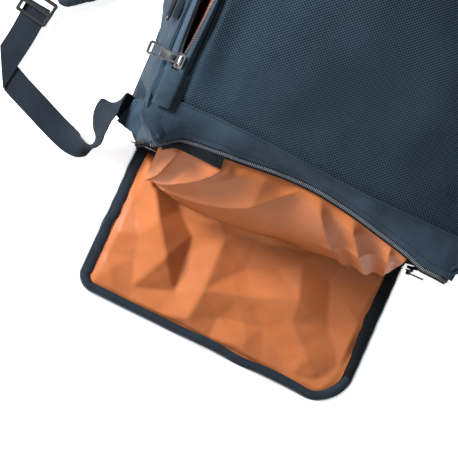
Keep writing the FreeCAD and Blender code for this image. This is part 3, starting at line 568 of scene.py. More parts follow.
for side, word in SIDES:
    def gusset_place(u, v, side=side):
        return gusset_point(side, u, 0.003 + (GUSSET_TOP - 0.001) * v)
    gusset = cloth("gusset_cover_" + word, 0.86, 0.165, 420, 60, gusset_place, 0.003, SHADED_SLATE_CLOTH,
                   flip=side < 0)
    attach(gusset, "bag", "smooth_slate", "gusset_" + word, "corner_cheek_" + word)
    foot_line = [gusset_point(side, i / 400, 0.010) for i in range(401)]
    stitch_row("gusset_foot_stitching_" + word, foot_line, "bag", up=Vector((side, 0, 0)))


def end_place(u, v):
    x = (2 * u - 1) * (END_HALF + 0.001)
    z = 0.003 + (GUSSET_TOP - 0.001) * v
    bulge = 0.004 * arch(u) * arch(v) + 0.0012 * billow(x, z, 0.05, 21)
    return (x, BAG_Y - 0.0006 + bulge * 0.6, z)


end_cover = cloth("top_end_cover", 0.29, 0.165, 110, 60, end_place, 0.003, SMOOTH_CLOTH, flip=True)
attach(end_cover, "bag", "smooth_slate", "top_end_panel")


# ---------------------------------------------------------------- shoulders and long zippers
# Between the front and each gusset runs a long zipper: folded cloth guards and a coil on each side.
# The left one is open to its slider, the right one is closed.
ZIP_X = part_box("main_slider")[0][0] / 2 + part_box("main_slider")[1][0] / 2
ZIP_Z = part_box("main_zip_coil_front")[0][2] / 2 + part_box("main_zip_coil_front")[1][2] / 2
ZIP_LOW_Y, ZIP_HIGH_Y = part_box("main_zip_coil_front")[0][1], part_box("main_zip_coil_front")[1][1]
SLIDER_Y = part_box("main_slider")[1][1]
COIL_W = 0.0034
LONG_PITCH = 0.0017
GUARD_FOLD = 0.62
OPEN_GAP = 0.0085
SHUT_GAP = 0.0009


def half_gap(y, widest):
    """Half the distance between the coils of a long zipper at y."""
    t = min(1.0, max(0.0, (y - SLIDER_Y) / (ZIP_HIGH_Y - SLIDER_Y)))
    return SHUT_GAP + (widest - SHUT_GAP) * arch(t) ** 0.6


def strip_across(side, side_in, widest, u, v, lift):
    """Point on a strip from the coil (u = 0) out to the front or the gusset (u = 1)."""
    y = ZIP_LOW_Y + (ZIP_HIGH_Y - ZIP_LOW_Y) * v
    gap = half_gap(y, widest)
    near = abs(ZIP_X) - side_in * (gap + COIL_W * 0.6)
    far = FRONT_X + 0.0006 if side_in > 0 else GUSSET_X - TOP_IN + 0.0005
    far_z = SHOULDER_Z - 0.003 if side_in > 0 else GUSSET_TOP - 0.001
    x = near + (far - near) * u
    z = ZIP_Z + (far_z - ZIP_Z) * u + lift(u, y)
    return Vector((side * x, y, z))


def guard_lift(u, y):
    """Folded guard: swollen over the coil, then down into the groove beside it."""
    hump = 0.0042 * arch(min(1.0, u / GUARD_FOLD)) ** 0.6 if u < GUARD_FOLD else 0.0
    groove = -0.0035 * smooth(0.6, 0.8, u) * (1 - smooth(0.9, 1.0, u))
    return hump + groove + 0.0016 + 0.0006 * math.sin(y * 90)


for side, widest, word in ((-1, OPEN_GAP, "main"), (1, SHUT_GAP, "second")):
    for side_in, part in ((1, "front"), (-1, "side")):
        def guard_place(u, v, side=side, side_in=side_in, widest=widest):
            return strip_across(side, side_in, widest, u, v, guard_lift)
        guard = cloth(word + "_zip_guard_" + part, 0.014, 0.64, 16, 220, guard_place, 0.0009, SMOOTH_CLOTH,
                      flip=side * side_in > 0)
        attach(guard, "bag", "smooth_slate",
               "main_zip_tape_" + part if word == "main" else "second_zip_tapes")
        line = [strip_across(side, side_in, widest, -0.12, i / 200, lambda u, y: 0.0) for i in range(201)]
        copies(word + "_zip_coil_teeth_" + part, tooth, line, LONG_PITCH, UP, COIL, "bag", "zip_coil",
               "main_zip_coil_" + part if word == "main" else "second_zip_coils")

# Corner patches past the ends of the long zippers, and the cloth tabs that stop them.
for side, word in SIDES:
    for y_in, y_out, end_word in ((ZIP_LOW_Y + 0.004, -BAG_Y + 0.002, "pocket"),
                                  (ZIP_HIGH_Y - 0.002, BAG_Y - 0.001, "top")):
        def cap_place(u, v, side=side, y_in=y_in, y_out=y_out):
            y = y_in + (y_out - y_in) * v
            into = max(0.0, abs(y) - (BAG_Y - CORNER_R))
            limit = END_HALF + math.sqrt(max(0.0, (CORNER_R - TOP_IN * 0.6) ** 2 - into ** 2)) + 0.001
            outer = min(GUSSET_X - TOP_IN + 0.001, max(MOUTH_X + 0.004, limit))
            x = FRONT_X - 0.001 + (outer - FRONT_X + 0.001) * u
            top = SHOULDER_Z - 0.002 - 0.0085 * smooth(0.34, 0.378, abs(y))
            dip = 0.0045 * math.exp(-((y + 0.348) / 0.006) ** 2) * smooth(0.2, 0.9, u)
            roll = 0.012 * smooth(BAG_Y - 0.007, BAG_Y - 0.001, abs(y))
            z = top + (GUSSET_TOP + 0.0004 - top) * u ** 1.6 + 0.003 * arch(u) - dip - roll
            return (side * x, y, z + 0.0008 * billow(x, y, 0.012, 31))
        cap = cloth("shoulder_cap_" + end_word + "_" + word, 0.03, 0.06, 22, 44, cap_place, 0.0012,
                    SHADED_SLATE_CLOTH, flip=side * (y_out - y_in) < 0)
        attach(cap, "bag", "smooth_slate", "shoulder_caps")
    for y0, y1, end_word in ((-0.349, ZIP_LOW_Y + 0.003, "pocket"), (ZIP_HIGH_Y - 0.001, 0.336, "top")):
        def tab_place(u, v, side=side, y0=y0, y1=y1):
            x = abs(ZIP_X) + (2 * u - 1) * 0.0085
            y = y0 + (y1 - y0) * v
            rise = 0.0022 * arch(u) ** 0.5 + 0.0008 * arch(v)
            return (side * x, y, ZIP_Z + 0.0032 + rise - 0.0016 * (2 * u - 1))
        tab = cloth("zip_end_tab_" + end_word + "_" + word, 0.017, 0.022, 14, 18, tab_place, 0.0012,
                    SMOOTH_CLOTH, flip=side < 0)
        attach(tab, "bag", "smooth_slate", "zip_end_tabs")


# ---------------------------------------------------------------- main compartment lining
# Thin orange nylon, sewn to the long zippers' tapes and along the walls, and hanging loose
# in the main compartment, where it is seen through the open zipper.
LINING_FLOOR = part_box("main_lining_floor")[1][2]
DIVIDER_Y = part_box("pocket_lining_back")[1][1]
LINING = cloth_material("lining_cloth", (0.355, 0.096, 0.029), (0.485, 0.150, 0.049), 0.0007, mottle=0.06,
                        bump=0.12, depth=0.0002, weave_share=0.15, rough=(0.44, 0.54), sheen=0.0,
                        shine=0.22)


def main_wall_place(side, u, v):
    """Lining beside the gap: sewn to the tape, then hanging inside the bag."""
    y = -0.300 + 0.600 * u
    gap = half_gap(y, OPEN_GAP)
    near = abs(ZIP_X) - side * (gap + 0.0012)
    fall = max(0.0, (v - 0.1) / 0.9)
    shelf = 0.62 * gap * smooth(0.0, 0.1, v) if side > 0 else 0.0
    away = near + shelf - side * (0.0008 + 0.010 * fall + 0.006 * math.sin(fall * 5 + y * 31) * fall)
    if side < 0:
        away = min(away, GUSSET_X - 0.018)
    z = ZIP_Z - 0.0012 - 0.004 * smooth(0.0, 0.1, v) - 0.124 * fall
    return (-away, y, z + 0.0012 * billow(y, v, 0.05, 41))


for side, word in ((1, "front"), (-1, "side")):
    fall = cloth("main_lining_fall_" + word, 0.6, 0.13, 240, 30,
                 lambda u, v, side=side: main_wall_place(side, u, v), 0.0, LINING, flip=side < 0)
    attach(fall, "bag", "lining_orange")


def lining_floor_place(u, v):
    x = (2 * u - 1) * 0.163
    y = DIVIDER_Y + 0.001 + (0.334 - DIVIDER_Y - 0.001) * v
    return (x, y, LINING_FLOOR + 0.0012 + 0.0022 * crumple(x, y, 0.07, 43) + 0.001 * billow(x, y, 0.02, 44))


def lining_front_place(u, v):
    x = (2 * u - 1) * (FRONT_X - 0.002)
    y = (2 * v - 1) * (FRONT_Y - 0.006)
    return (x, y, crown(x, y) - 0.0155 - 0.0035 * crumple(x, y, 0.09, 45))


def lining_wall_place(side, u, v):
    x, y, nx, ny = plan_path(0.02 + 0.96 * u)
    y = max(y, DIVIDER_Y + 0.002)
    z = LINING_FLOOR + 0.001 + (GUSSET_TOP - 0.007 - LINING_FLOOR) * v
    inward = side_inset(z) + 0.0068 + 0.002 * crumple(y, z, 0.06, 46 + side)
    return (side * (x - nx * inward), y - ny * inward, z)


floor_lining = cloth("main_lining_base", 0.33, 0.5, 90, 140, lining_floor_place, 0.0, LINING)
front_lining = cloth("main_lining_under_front", 0.28, 0.68, 70, 150, lining_front_place, 0.0, LINING,
                     flip=True)
walls = [cloth("main_lining_wall_" + word, 0.8, 0.15, 260, 30,
               lambda u, v, side=side: lining_wall_place(side, u, v), 0.0, LINING, flip=side > 0)
         for side, word in SIDES]
end_lining = cloth("main_lining_top_end", 0.29, 0.15, 60, 30,
                   lambda u, v: ((2 * u - 1) * END_HALF, BAG_Y - 0.0072 - 0.002 * crumple(u, v, 0.3, 48),
                                 LINING_FLOOR + 0.001 + (GUSSET_TOP - 0.007 - LINING_FLOOR) * v), 0.0, LINING)
for piece, *nodes in ((floor_lining, "main_lining_floor"), (front_lining, "main_lining_front"),
                      (walls[0], "main_lining_walls"), (walls[1],), (end_lining,)):
    attach(piece, "bag", "lining_orange", *nodes)


# ---------------------------------------------------------------- pocket sack
# The end pocket's own lining: floor, sides, back and top of thin orange nylon, sewn into
# a loose box behind the pocket's mouth.
SACK_X = MOUTH_X
SACK_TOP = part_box("pocket_lining_top")[0][2]
SACK_Y = -BAG_Y + 0.001
SACK_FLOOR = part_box("pocket_lining_floor")[1][2]


def sack_rumple(a, b, seed):
    """Loose nylon between its seams."""
    return 0.0035 * crumple(a, b, 0.055, seed) + 0.002 * billow(a, b, 0.025, seed)


def sack_edge(u, v):
    """0 on the seams, 1 away from them."""
    return smooth(0, 0.12, rim(u)) * smooth(0, 0.12, rim(v))


def sack_floor_place(u, v):
    x, y = (2 * u - 1) * SACK_X, SACK_Y + (DIVIDER_Y - 0.002 - SACK_Y) * v
    return (x, y, SACK_FLOOR - 0.001 + 0.0008 + sack_rumple(x, y, 51) * sack_edge(u, v))


def sack_side_place(side, u, v):
    y, z = SACK_Y + (DIVIDER_Y - 0.002 - SACK_Y) * u, SACK_FLOOR + (SACK_TOP - SACK_FLOOR) * v
    return (side * (SACK_X - 0.0005 - sack_rumple(y, z, 53 + side) * sack_edge(u, v)), y, z)


def sack_back_place(u, v):
    x, z = (2 * u - 1) * SACK_X, SACK_FLOOR + (SACK_TOP - SACK_FLOOR) * v
    return (x, DIVIDER_Y - 0.002 - sack_rumple(x, z, 57) * sack_edge(u, v), z)


def sack_top_place(u, v):
    x = (2 * u - 1) * SACK_X
    y = -BAG_Y + 0.010 + mouth_sag(x) * (1 - v)
    y += (DIVIDER_Y - 0.002 - y) * v
    return (x, y, SACK_TOP + 0.006 * (1 - v) - sack_rumple(x, y, 59) * sack_edge(u, v))


sack = (("pocket_sack_floor", sack_floor_place, "pocket_lining_floor", False),
        ("pocket_sack_left", lambda u, v: sack_side_place(-1, u, v), "pocket_lining_left", True),
        ("pocket_sack_right", lambda u, v: sack_side_place(1, u, v), "pocket_lining_right", False),
        ("pocket_sack_back", sack_back_place, "pocket_lining_back", True),
        ("pocket_sack_top", sack_top_place, "pocket_lining_top", True))
for name, place, node, flip in sack:
    panel = cloth(name, 0.29, 0.2, 100, 70, place, 0.0, LINING, flip=flip)
    attach(panel, "bag", "lining_orange", node)


# ---------------------------------------------------------------- pocket flap
# The pocket's end wall, unzipped and folded out on the floor: rib cloth outside, a loose
# nylon lining inside, black zipper tape at both sides and a folded binding at the far edge.
flap_low, flap_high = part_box("flap_panel")
FLAP_X = flap_high[0]
ROOT_Y = flap_high[1]
FAR_Y = flap_low[1]
PANEL_Z = flap_high[2]
R_LEFT, R_RIGHT = 0.018, 0.038
DARK_CLOTH = cloth_material("dark_cloth", (0.004, 0.006, 0.009), (0.022, 0.032, 0.045), 0.0012,
                            mottle=0.03, bump=0.6, depth=0.0003, weave_share=0.3, sheen=0.03)


def flap_half(side, y):
    """Half width of the flap at y, narrowing in its rounded far corners."""
    radius = R_LEFT if side < 0 else R_RIGHT
    into = radius - (y - FAR_Y)
    if into <= 0:
        return FLAP_X
    return FLAP_X - radius + math.sqrt(max(0.0, radius ** 2 - into ** 2))


def flap_xy(u, v):
    """Point of the flap: u across, v from the hinge (0) to the far edge (1)."""
    y = ROOT_Y + (FAR_Y - ROOT_Y) * v
    left, right = -flap_half(-1, y + 1e-6), flap_half(1, y + 1e-6)
    return left + (right - left) * u, y


def flap_panel_place(u, v):
    x, y = flap_xy(u, 1 - (1 - v) ** 1.15)
    wave = 0.0007 * math.sin(x * 40) * smooth(0, 0.3, v)
    return (*laid(x, y), PANEL_Z - 0.0009 + wave)


# Loose lining: points of the flat flap and how high the nylon stands there, in millimetres
# before scaling. It lies in nearly flat facets between them, with soft creases where they meet.
LOFT_SCALE = 1.45
MM = 0.001
LOFT = (
    (-131, -405, 13), (-116, -417, 15), (-100, -445, 16), (-78, -476, 14), (-30, -490, 10), (17, -475, 8),
    (60, -458, 12), (132, -408, 8), (46, -419, 9), (-122, -511, 4), (-33, -525, 6), (-61, -446, 4),
    (-32, -434, 9), (-47, -420, 10), (23, -527, 6), (63, -482, 8), (95, -509, 6), (-85, -425, 3),
    (-60, -462, 3), (-110, -468, 6), (-125, -440, 3), (-55, -505, 2), (-5, -510, 3), (0, -455, 3),
    (30, -440, 4), (85, -430, 3), (100, -470, 3), (40, -500, 2), (80, -525, 2), (-95, -520, 2),
    (-105, -492, 3), (120, -490, 2), (0, -415, 5), (-15, -392, 3), (90, -400, 5), (-90, -400, 6),
    (-137, -386, 2), (-138, -420, 2.5), (-138, -450, 0.5), (-138, -475, 3), (-137, -500, 0.8),
    (-128, -526, 1), (-110, -533, 2.5), (-90, -534, 0.5), (-62, -534, 3.5), (-35, -534, 0.6),
    (-5, -534, 2.5), (25, -534, 0.6), (55, -534, 3), (85, -533, 0.6), (110, -522, 2), (128, -505, 0.6),
    (137, -478, 3), (138, -450, 0.6), (138, -425, 3), (137, -386, 2), (40, -386, 3), (-60, -386, 4),
)
loft_points = [Vector((x * MM, y * MM)) for x, y, _ in LOFT]
_, _, loft_faces, _, _, _ = geometry.delaunay_2d_cdt(loft_points, [], [], 0, 1e-6)


def loft_at(x, y):
    """Height of the faceted lining at a point of the flap."""
    for face in loft_faces:
        a, b, c = (loft_points[i] for i in face)
        area = (b.x - a.x) * (c.y - a.y) - (c.x - a.x) * (b.y - a.y)
        s = ((x - a.x) * (c.y - a.y) - (c.x - a.x) * (y - a.y)) / area
        t = ((b.x - a.x) * (y - a.y) - (x - a.x) * (b.y - a.y)) / area
        if s >= -1e-6 and t >= -1e-6 and s + t <= 1 + 1e-6:
            ha, hb, hc = (LOFT[i][2] * MM * LOFT_SCALE for i in face)
            return ha + (hb - ha) * s + (hc - ha) * t
    return 0.0015


def laid(x, y):
    """The flap as it lies: its left side turned in a little, its far right corner out."""
    t = max(0.0, (ROOT_Y - y) / (ROOT_Y - FAR_Y))
    w = (x + FLAP_X) / (2 * FLAP_X)
    return x - 0.003 * t * (1 - w), y + t * (0.011 * (1 - w) - 0.004 * w)


FACET_SOFTEN = 0.0024
flap_cover = cloth("flap_outer_cloth", 0.29, 0.16, 110, 70, flap_panel_place, 0.0016, RIB_CLOTH, flip=True)
attach(flap_cover, "pocket_flap", "ripstop_dobby", "flap_panel")


def flap_lining_place(u, v):
    x, y = flap_xy(0.030 + 0.935 * u, 0.012 + 0.945 * v)
    inside = smooth(0, 0.035, rim(u)) * smooth(0, 0.035, 1 - v) * smooth(-0.01, 0.08, v)
    soft = (loft_at(x, y) + loft_at(x + FACET_SOFTEN, y) + loft_at(x - FACET_SOFTEN, y)
            + loft_at(x, y + FACET_SOFTEN) + loft_at(x, y - FACET_SOFTEN)) / 5
    soft += 0.0018 * billow(x, y, 0.05, 62) + 0.0009 * crumple(x + y * 0.4, y * 0.8, 0.06, 63)
    soft += 0.0006 * billow(x * 0.7 - y * 0.6, y * 0.5 + x * 0.3, 0.013, 64)
    return (*laid(x, y), PANEL_Z + 0.0008 + max(0.0, soft) * inside)


flap_lining = cloth("flap_inner_lining", 0.28, 0.155, 220, 130, flap_lining_place, 0.0, LINING, flip=True)
attach(flap_lining, "pocket_flap", "lining_orange", "flap_lining")


def border_path(inset):
    """Line round the flap's free edge, from the left of the hinge to the right."""
    left_c = (-FLAP_X + R_LEFT, FAR_Y + R_LEFT)
    right_c = (FLAP_X - R_RIGHT, FAR_Y + R_RIGHT)
    line = [(-FLAP_X + inset, ROOT_Y - 0.001 - 0.0045 * i) for i in range(31)]
    line = [p for p in line if p[1] > left_c[1]]
    for i in range(13):
        a = math.pi + i / 12 * math.pi / 2
        r = max(0.002, R_LEFT - inset)
        line.append((left_c[0] + r * math.cos(a), left_c[1] + r * math.sin(a)))
    line += [(left_c[0] + (right_c[0] - left_c[0]) * i / 50, FAR_Y + inset) for i in range(1, 50)]
    for i in range(15):
        a = 1.5 * math.pi + i / 14 * math.pi / 2
        r = R_RIGHT - inset
        line.append((right_c[0] + r * math.cos(a), right_c[1] + r * math.sin(a)))
    top = ROOT_Y - 0.001
    line += [(FLAP_X - inset, right_c[1] + (top - right_c[1]) * i / 26) for i in range(1, 27)]
    return [laid(x, y) for x, y in line]


def band(name, outer, inner, lift, thick, material, wobble, seed, slot, *nodes):
    """Band of cloth between two lines round the flap, slightly wavy."""
    count = len(outer)

    def place(u, v):
        spot = v * (count - 1)
        i = min(count - 2, int(spot))
        t = spot - i
        a = Vector((*outer[i], 0)).lerp(Vector((*outer[i + 1], 0)), t)
        b = Vector((*inner[i], 0)).lerp(Vector((*inner[i + 1], 0)), t)
        point = a.lerp(b, u)
        swell = 0.0016 * arch(u) ** 0.7
        shift = wobble * noise.noise(Vector((v * 9, seed, 0)))
        inward = (b - a).normalized() * shift * (1 if u > 0.1 else 0.3)
        return point + inward + Vector((0, 0, lift + swell + abs(shift) * 0.5))
    attach(cloth(name, 0.012, 0.01 * count, 8, count * 3, place, thick, material), "pocket_flap", slot,
           *nodes)


outer_line = border_path(0.0)
first_bottom = next(i for i, p in enumerate(outer_line) if p[1] < FAR_Y + 0.011 + R_LEFT * 0.9)
last_bottom = max(i for i, p in enumerate(outer_line) if p[1] < FAR_Y - 0.004 + R_RIGHT * 0.95)
band("flap_tape_left", outer_line[:first_bottom + 1], border_path(0.0095)[:first_bottom + 1],
     PANEL_Z + 0.0004, 0.0012, DARK_CLOTH, 0.0026, 3.0, "zip_tape", "flap_zip_tape")
right_inner = [Vector(near).lerp(Vector(wide), smooth(0, 9, i)) for i, (near, wide) in enumerate(
    zip(border_path(0.0078)[last_bottom:], border_path(0.0125)[last_bottom:]))]
band("flap_tape_right", outer_line[last_bottom:], right_inner, PANEL_Z + 0.0004, 0.0012, TAPE_CLOTH,
     0.0020, 5.0, "zip_tape")
band("flap_bottom_binding", outer_line[first_bottom:last_bottom + 1],
     border_path(0.0078)[first_bottom:last_bottom + 1], PANEL_Z + 0.0006, 0.0016, DARK_CLOTH, 0.0024, 7.0,
     "smooth_slate", "flap_binding")
for word, line, lift in (("left", border_path(0.0088)[:first_bottom], 0.0026),
                         ("bottom", border_path(0.0070)[first_bottom:last_bottom], 0.0028),
                         ("right", border_path(0.0108)[last_bottom + 1:], 0.0026)):
    stitch_row("flap_stitching_" + word, [(x, y, PANEL_Z + lift) for x, y in line], "pocket_flap")
copies("flap_coil_teeth", tooth, [(x, y, PANEL_Z + 0.0022) for x, y in border_path(-0.0006)],
       COIL_PITCH, UP, COIL, "pocket_flap", "zip_coil", "flap_zip_coil")


def hinge_place(u, v):
    x = (2 * u - 1) * (MOUTH_X + 0.001)
    a = v * 1.9
    y = -BAG_Y + 0.0005 - 0.0035 * v - 0.0006 * math.sin(a)
    return (x, y, 0.0065 - 0.0048 * v + 0.0009 * math.sin(v * math.pi))


hinge_cloth = cloth("flap_hinge_cloth", 0.295, 0.01, 90, 10, hinge_place, 0.0007, SMOOTH_CLOTH, flip=True)
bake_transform(hinge_cloth)


# ---------------------------------------------------------------- pocket curtain
# Upper part of the pocket's lining, sewn under the zipper and fallen out over the flap,
# with its folded side walls.
curtain_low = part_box("pocket_curtain")[0]
HEM = ((-0.132, -0.400), (-0.114, -0.413), (-0.060, -0.417), (-0.012, -0.415), (0.033, -0.409),
       (0.078, -0.404), (0.100, -0.406), (0.114, -0.400))
# Pleats: where each crosses the top and the hem (0 to 1 across), its height and its width.
PLEATS = ((0.60, 0.80, 0.0080, 0.045), (0.74, 0.97, 0.0110, 0.050), (0.08, 0.02, 0.0070, 0.020),
          (0.26, 0.02, 0.0080, 0.022), (0.55, 0.04, 0.0050, 0.030), (0.40, 0.34, 0.0040, 0.080),
          (0.92, 1.04, 0.0060, 0.020))


def hem_at(u):
    """Point of the curtain's hem, seen from above."""
    spot = u * (len(HEM) - 1)
    i = min(len(HEM) - 2, int(spot))
    t = spot - i
    return (HEM[i][0] + (HEM[i + 1][0] - HEM[i][0]) * t, HEM[i][1] + (HEM[i + 1][1] - HEM[i][1]) * t)


def curtain_place(u, v):
    top_x = -0.1425 + 0.249 * u
    start = mouth_tape_place(0.5 + top_x / (2 * (MOUTH_X + 0.003)), 0.5) + Vector((0, 0, -0.003))
    hem_x, hem_y = hem_at(u)
    t = v ** 0.9
    x = top_x + (hem_x - top_x) * t
    y = start.y + (hem_y - start.y) * (1 - (1 - t) ** 1.5)
    z = start.z - (start.z - curtain_low[2] + 0.008) * t ** 1.12
    free = smooth(0, 0.12, t)
    swell = 0.007 * arch(min(1.0, t * 1.05)) + 0.004 * billow(x * 1.2, t * 0.1, 0.05, 72)
    for at_top, at_hem, rise, width in PLEATS:
        off = u - (at_top + (at_hem - at_top) * t)
        swell += rise * math.exp(-abs(off / (width * (0.6 if off > 0 else 1.6))) ** 1.3) * (1 - 0.3 * t)
    swell += 0.0026 * (crumple(x + t * 0.03, t * 0.12, 0.06, 73) - 0.3)
    return Vector((x, y - swell * free * 0.8, z + swell * free * 0.5))


curtain = cloth("pocket_lining_curtain", 0.28, 0.14, 200, 90, curtain_place, 0.0, LINING)
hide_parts("pocket_curtain")
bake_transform(curtain)


def label_place(u, v):
    x = -0.141 + 0.055 * u + 0.002 * v
    edge = lip(x)
    return edge + Vector((0, -0.0045 - 0.0125 * v * (0.45 + 0.55 * u), -0.0065 - 0.0045 * v * v))


label = cloth("inner_label_cloth", 0.057, 0.012, 40, 10, label_place, 0.0007, TAPE_CLOTH)
attach(label, "curtain", "label_cloth", "inner_label")


# ---------------------------------------------------------------- strap tabs
# Folded tabs of smooth cloth that hold the shoulder straps' webbing, sewn into the corner
# seams and stitched across.
for side, word in SIDES:
    def tab_corner(u, v, side=side):
        near = Vector((0.147, -0.378, 0.042)).lerp(Vector((0.154, -0.338, 0.055)), v)
        far = Vector((0.1775, -0.3700, 0.028)).lerp(Vector((0.1710, -0.3440, 0.032)), v)
        point = near.lerp(far, u)
        point.z += 0.003 * arch(v) + 0.0012 * billow(u, v, 0.3, 81)
        return Vector((side * point.x, point.y, point.z))
    tab = cloth("strap_tab_cloth_" + word, 0.034, 0.036, 26, 26, tab_corner, 0.0028, SMOOTH_CLOTH,
                flip=side < 0)
    attach(tab, "bag", "smooth_slate", "strap_tab_" + word)
    for inset in (0.88, 0.78):
        stitch_row("strap_tab_stitching_%s_%d" % (word, round(inset * 100)),
                   [tab_corner(inset, i / 20) + Vector((0, 0, 0.0002)) for i in range(1, 20)], "bag")


# ---------------------------------------------------------------- shoulder straps
# 25 mm webbing from each tab through a ladder lock to a padded strap. The left one has
# flopped out on the floor with a twist and a fold in its webbing.
WEB_W = 0.025
WEB_THICK = 0.0015
FOLD_CUT = 0.034
WEBBING = cloth_material("webbing", (0.004, 0.005, 0.008), (0.020, 0.027, 0.038), 0.0012, stretch=0.5,
                         mottle=0.04, bump=0.5, depth=0.0003, weave_share=0.5, sheen=0.03)
PAD_MESH = cloth_material("pad_mesh", (0.006, 0.009, 0.013), (0.042, 0.058, 0.078), 0.0026, turn=0.78,
                          bump=0.8, depth=0.0009, weave_share=0.7, sheen=0.04, source="Object")


def curve_through(points, count):
    """Evenly numbered points on a smooth curve through the given ones."""
    vectors = [Vector(p) for p in points]
    padded_list = [2 * vectors[0] - vectors[1]] + vectors + [2 * vectors[-1] - vectors[-2]]
    found = []
    spans = len(vectors) - 1
    for i in range(count + 1):
        spot = min(spans - 1e-9, i / count * spans)
        k = int(spot)
        t = spot - k
        a, b, c, d = padded_list[k:k + 4]
        found.append(0.5 * (2 * b + (c - a) * t + (2 * a - 5 * b + 4 * c - d) * t ** 2
                            + (3 * b - a - 3 * c + d) * t ** 3))
    return found


def webbing(name, stations, count, start_cut=0.0, end_cut=0.0):
    """Flat webbing through (point, width direction) stations, in metres. A cut is how much
    shorter one edge is than the other at that end, where the webbing folds over."""
    centre = curve_through([s[0] for s in stations], count)
    across = curve_through([s[1] for s in stations], count)
    steps = [(b - a).length for a, b in zip(centre, centre[1:])]
    marks = np.concatenate(([0.0], np.cumsum(steps)))
    length = float(marks[-1])

    def place(u, v):
        first, last = start_cut * (1 - u), length - end_cut * (1 - u)
        spot = float(np.interp(first + (last - first) * v, marks, np.arange(count + 1)))
        i = min(count - 1, int(spot))
        point = centre[i].lerp(centre[i + 1], spot - i)
        before, after = centre[max(0, i - 1)], centre[min(count, i + 1)]
        along = (after - before).normalized()
        side = (across[i] - along * across[i].dot(along)).normalized()
        lip_round = 0.0002 * math.cos(2 * math.pi * u)
        return point + side * (u - 0.5) * WEB_W + along.cross(side) * lip_round
    piece = cloth(name, WEB_W, length, 16, count, place, WEB_THICK, WEBBING)
    return piece


LEFT_WEB = (
    ((-0.1600, -0.3620, 0.0170), (0.45, 0.85, 0)), ((-0.1700, -0.3560, 0.0230), (0.50, 0.82, 0)),
    ((-0.1800, -0.3530, 0.0275), (0.60, 0.75, 0)), ((-0.1885, -0.3580, 0.0345), (0.80, 0.35, 0.3)),
    ((-0.1915, -0.3700, 0.0350), (0.70, 0.05, 0.7)), ((-0.1900, -0.3820, 0.0290), (0.45, 0, 0.88)),
    ((-0.1870, -0.3930, 0.0220), (0.20, 0, 0.97)), ((-0.1890, -0.4010, 0.0170), (-0.05, 0.1, 1)),
    ((-0.1960, -0.4060, 0.0140), (-0.15, 0.55, 0.75)), ((-0.2080, -0.4060, 0.0065), (-0.05, 1, 0.25)),
    ((-0.2280, -0.3985, 0.0016), (0.3, 1, 0)), ((-0.2570, -0.3860, 0.0016), (0.45, 0.9, 0)),
    ((-0.2800, -0.3760, 0.0016), (0.50, 0.87, 0)), ((-0.3130, -0.3600, 0.0018), (0.45, 0.89, 0)),
)
web_low = webbing("left_webbing_lower", LEFT_WEB, 150, end_cut=FOLD_CUT)
web_up = webbing("left_webbing_upper", (
    ((-0.3015, -0.3840, 0.0036), (0.98, -0.15, 0)), ((-0.2975, -0.3580, 0.0040), (0.98, -0.15, 0)),
    ((-0.2930, -0.3300, 0.0040), (0.98, -0.15, 0)), ((-0.2900, -0.2960, 0.0036), (0.98, -0.17, 0))),
    60, start_cut=FOLD_CUT)
web_right = webbing("right_webbing", (
    ((0.1660, -0.3590, 0.0275), (-0.25, 0.97, 0)), ((0.1770, -0.3560, 0.0265), (-0.22, 0.97, 0)),
    ((0.1880, -0.3520, 0.0160), (-0.1, 0.95, 0.3)), ((0.1965, -0.3450, 0.0120), (0.15, 0.75, 0.65)),
    ((0.2020, -0.3320, 0.0110), (0.55, 0.3, 0.78)), ((0.2060, -0.3150, 0.0075), (0.9, -0.1, 0.4)),
    ((0.2120, -0.2860, 0.0018), (0.98, -0.2, 0.05)), ((0.2180, -0.2480, 0.0014), (0.98, -0.17, 0))),
    90)
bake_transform(web_low)
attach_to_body(web_up, "left_strap")
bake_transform(web_right)
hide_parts("left_strap_webbing")
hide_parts("right_strap_webbing")


def solid_copy(name, node, flatten=False):
    """Copy of a CAD node's mesh, its doubled points merged and, if asked, its flats joined."""
    piece = bpy.data.objects.new(name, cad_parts[node].data.copy())
    bpy.context.scene.collection.objects.link(piece)
    pick(piece)
    bpy.ops.object.mode_set(mode="EDIT")
    bpy.ops.mesh.select_all(action="SELECT")
    bpy.ops.mesh.remove_doubles(threshold=0.00001)
    if flatten:
        bpy.ops.mesh.dissolve_limited(angle_limit=math.radians(2))
    bpy.ops.object.mode_set(mode="OBJECT")
    return piece


def pad_piece(name, node, body, swell):
    """Shoulder pad from its solid: remeshed, puffed by simulation and left soft."""
    piece = solid_copy(name, node)
    modify(piece, "grid", "REMESH", mode="VOXEL", voxel_size=0.005)
    modify(piece, "soften", "SMOOTH", iterations=6)
    puff(piece, swell)
    modify(piece, "finer", "SUBSURF", levels=1, render_levels=1)
    finish_piece(piece, PAD_MESH, 60)
    attach(piece, body, "padding", node)
    return piece


def puff(piece, cap):
    """Inflate a closed cloth a little, and keep every point within cap of where it was."""
    rest = [v.co.copy() for v in piece.data.vertices]
    modifier = piece.modifiers.new("puff", "CLOTH")
    settings = modifier.settings
    settings.quality = 4
    settings.use_pressure = True
    settings.uniform_pressure_force = 4.0
    settings.tension_stiffness = 15
    settings.bending_stiffness = 0.3
    settings.effector_weights.gravity = 0.0
    modifier.point_cache.frame_start = 1
    modifier.point_cache.frame_end = 20
    for step in range(1, 21):
        bpy.context.scene.frame_set(step)
    bpy.ops.object.modifier_apply(modifier="puff")
    for vertex, before in zip(piece.data.vertices, rest):
        moved = vertex.co - before
        if moved.length > cap:
            vertex.co = before + moved * (cap / moved.length)
        vertex.co.z = max(vertex.co.z, 0.0002)
    bpy.context.scene.frame_set(1)


pad_piece("left_shoulder_cushion", "left_shoulder_pad", "left_strap", 0.004)
pad_piece("right_shoulder_cushion", "right_shoulder_pad", "right_strap", 0.004)

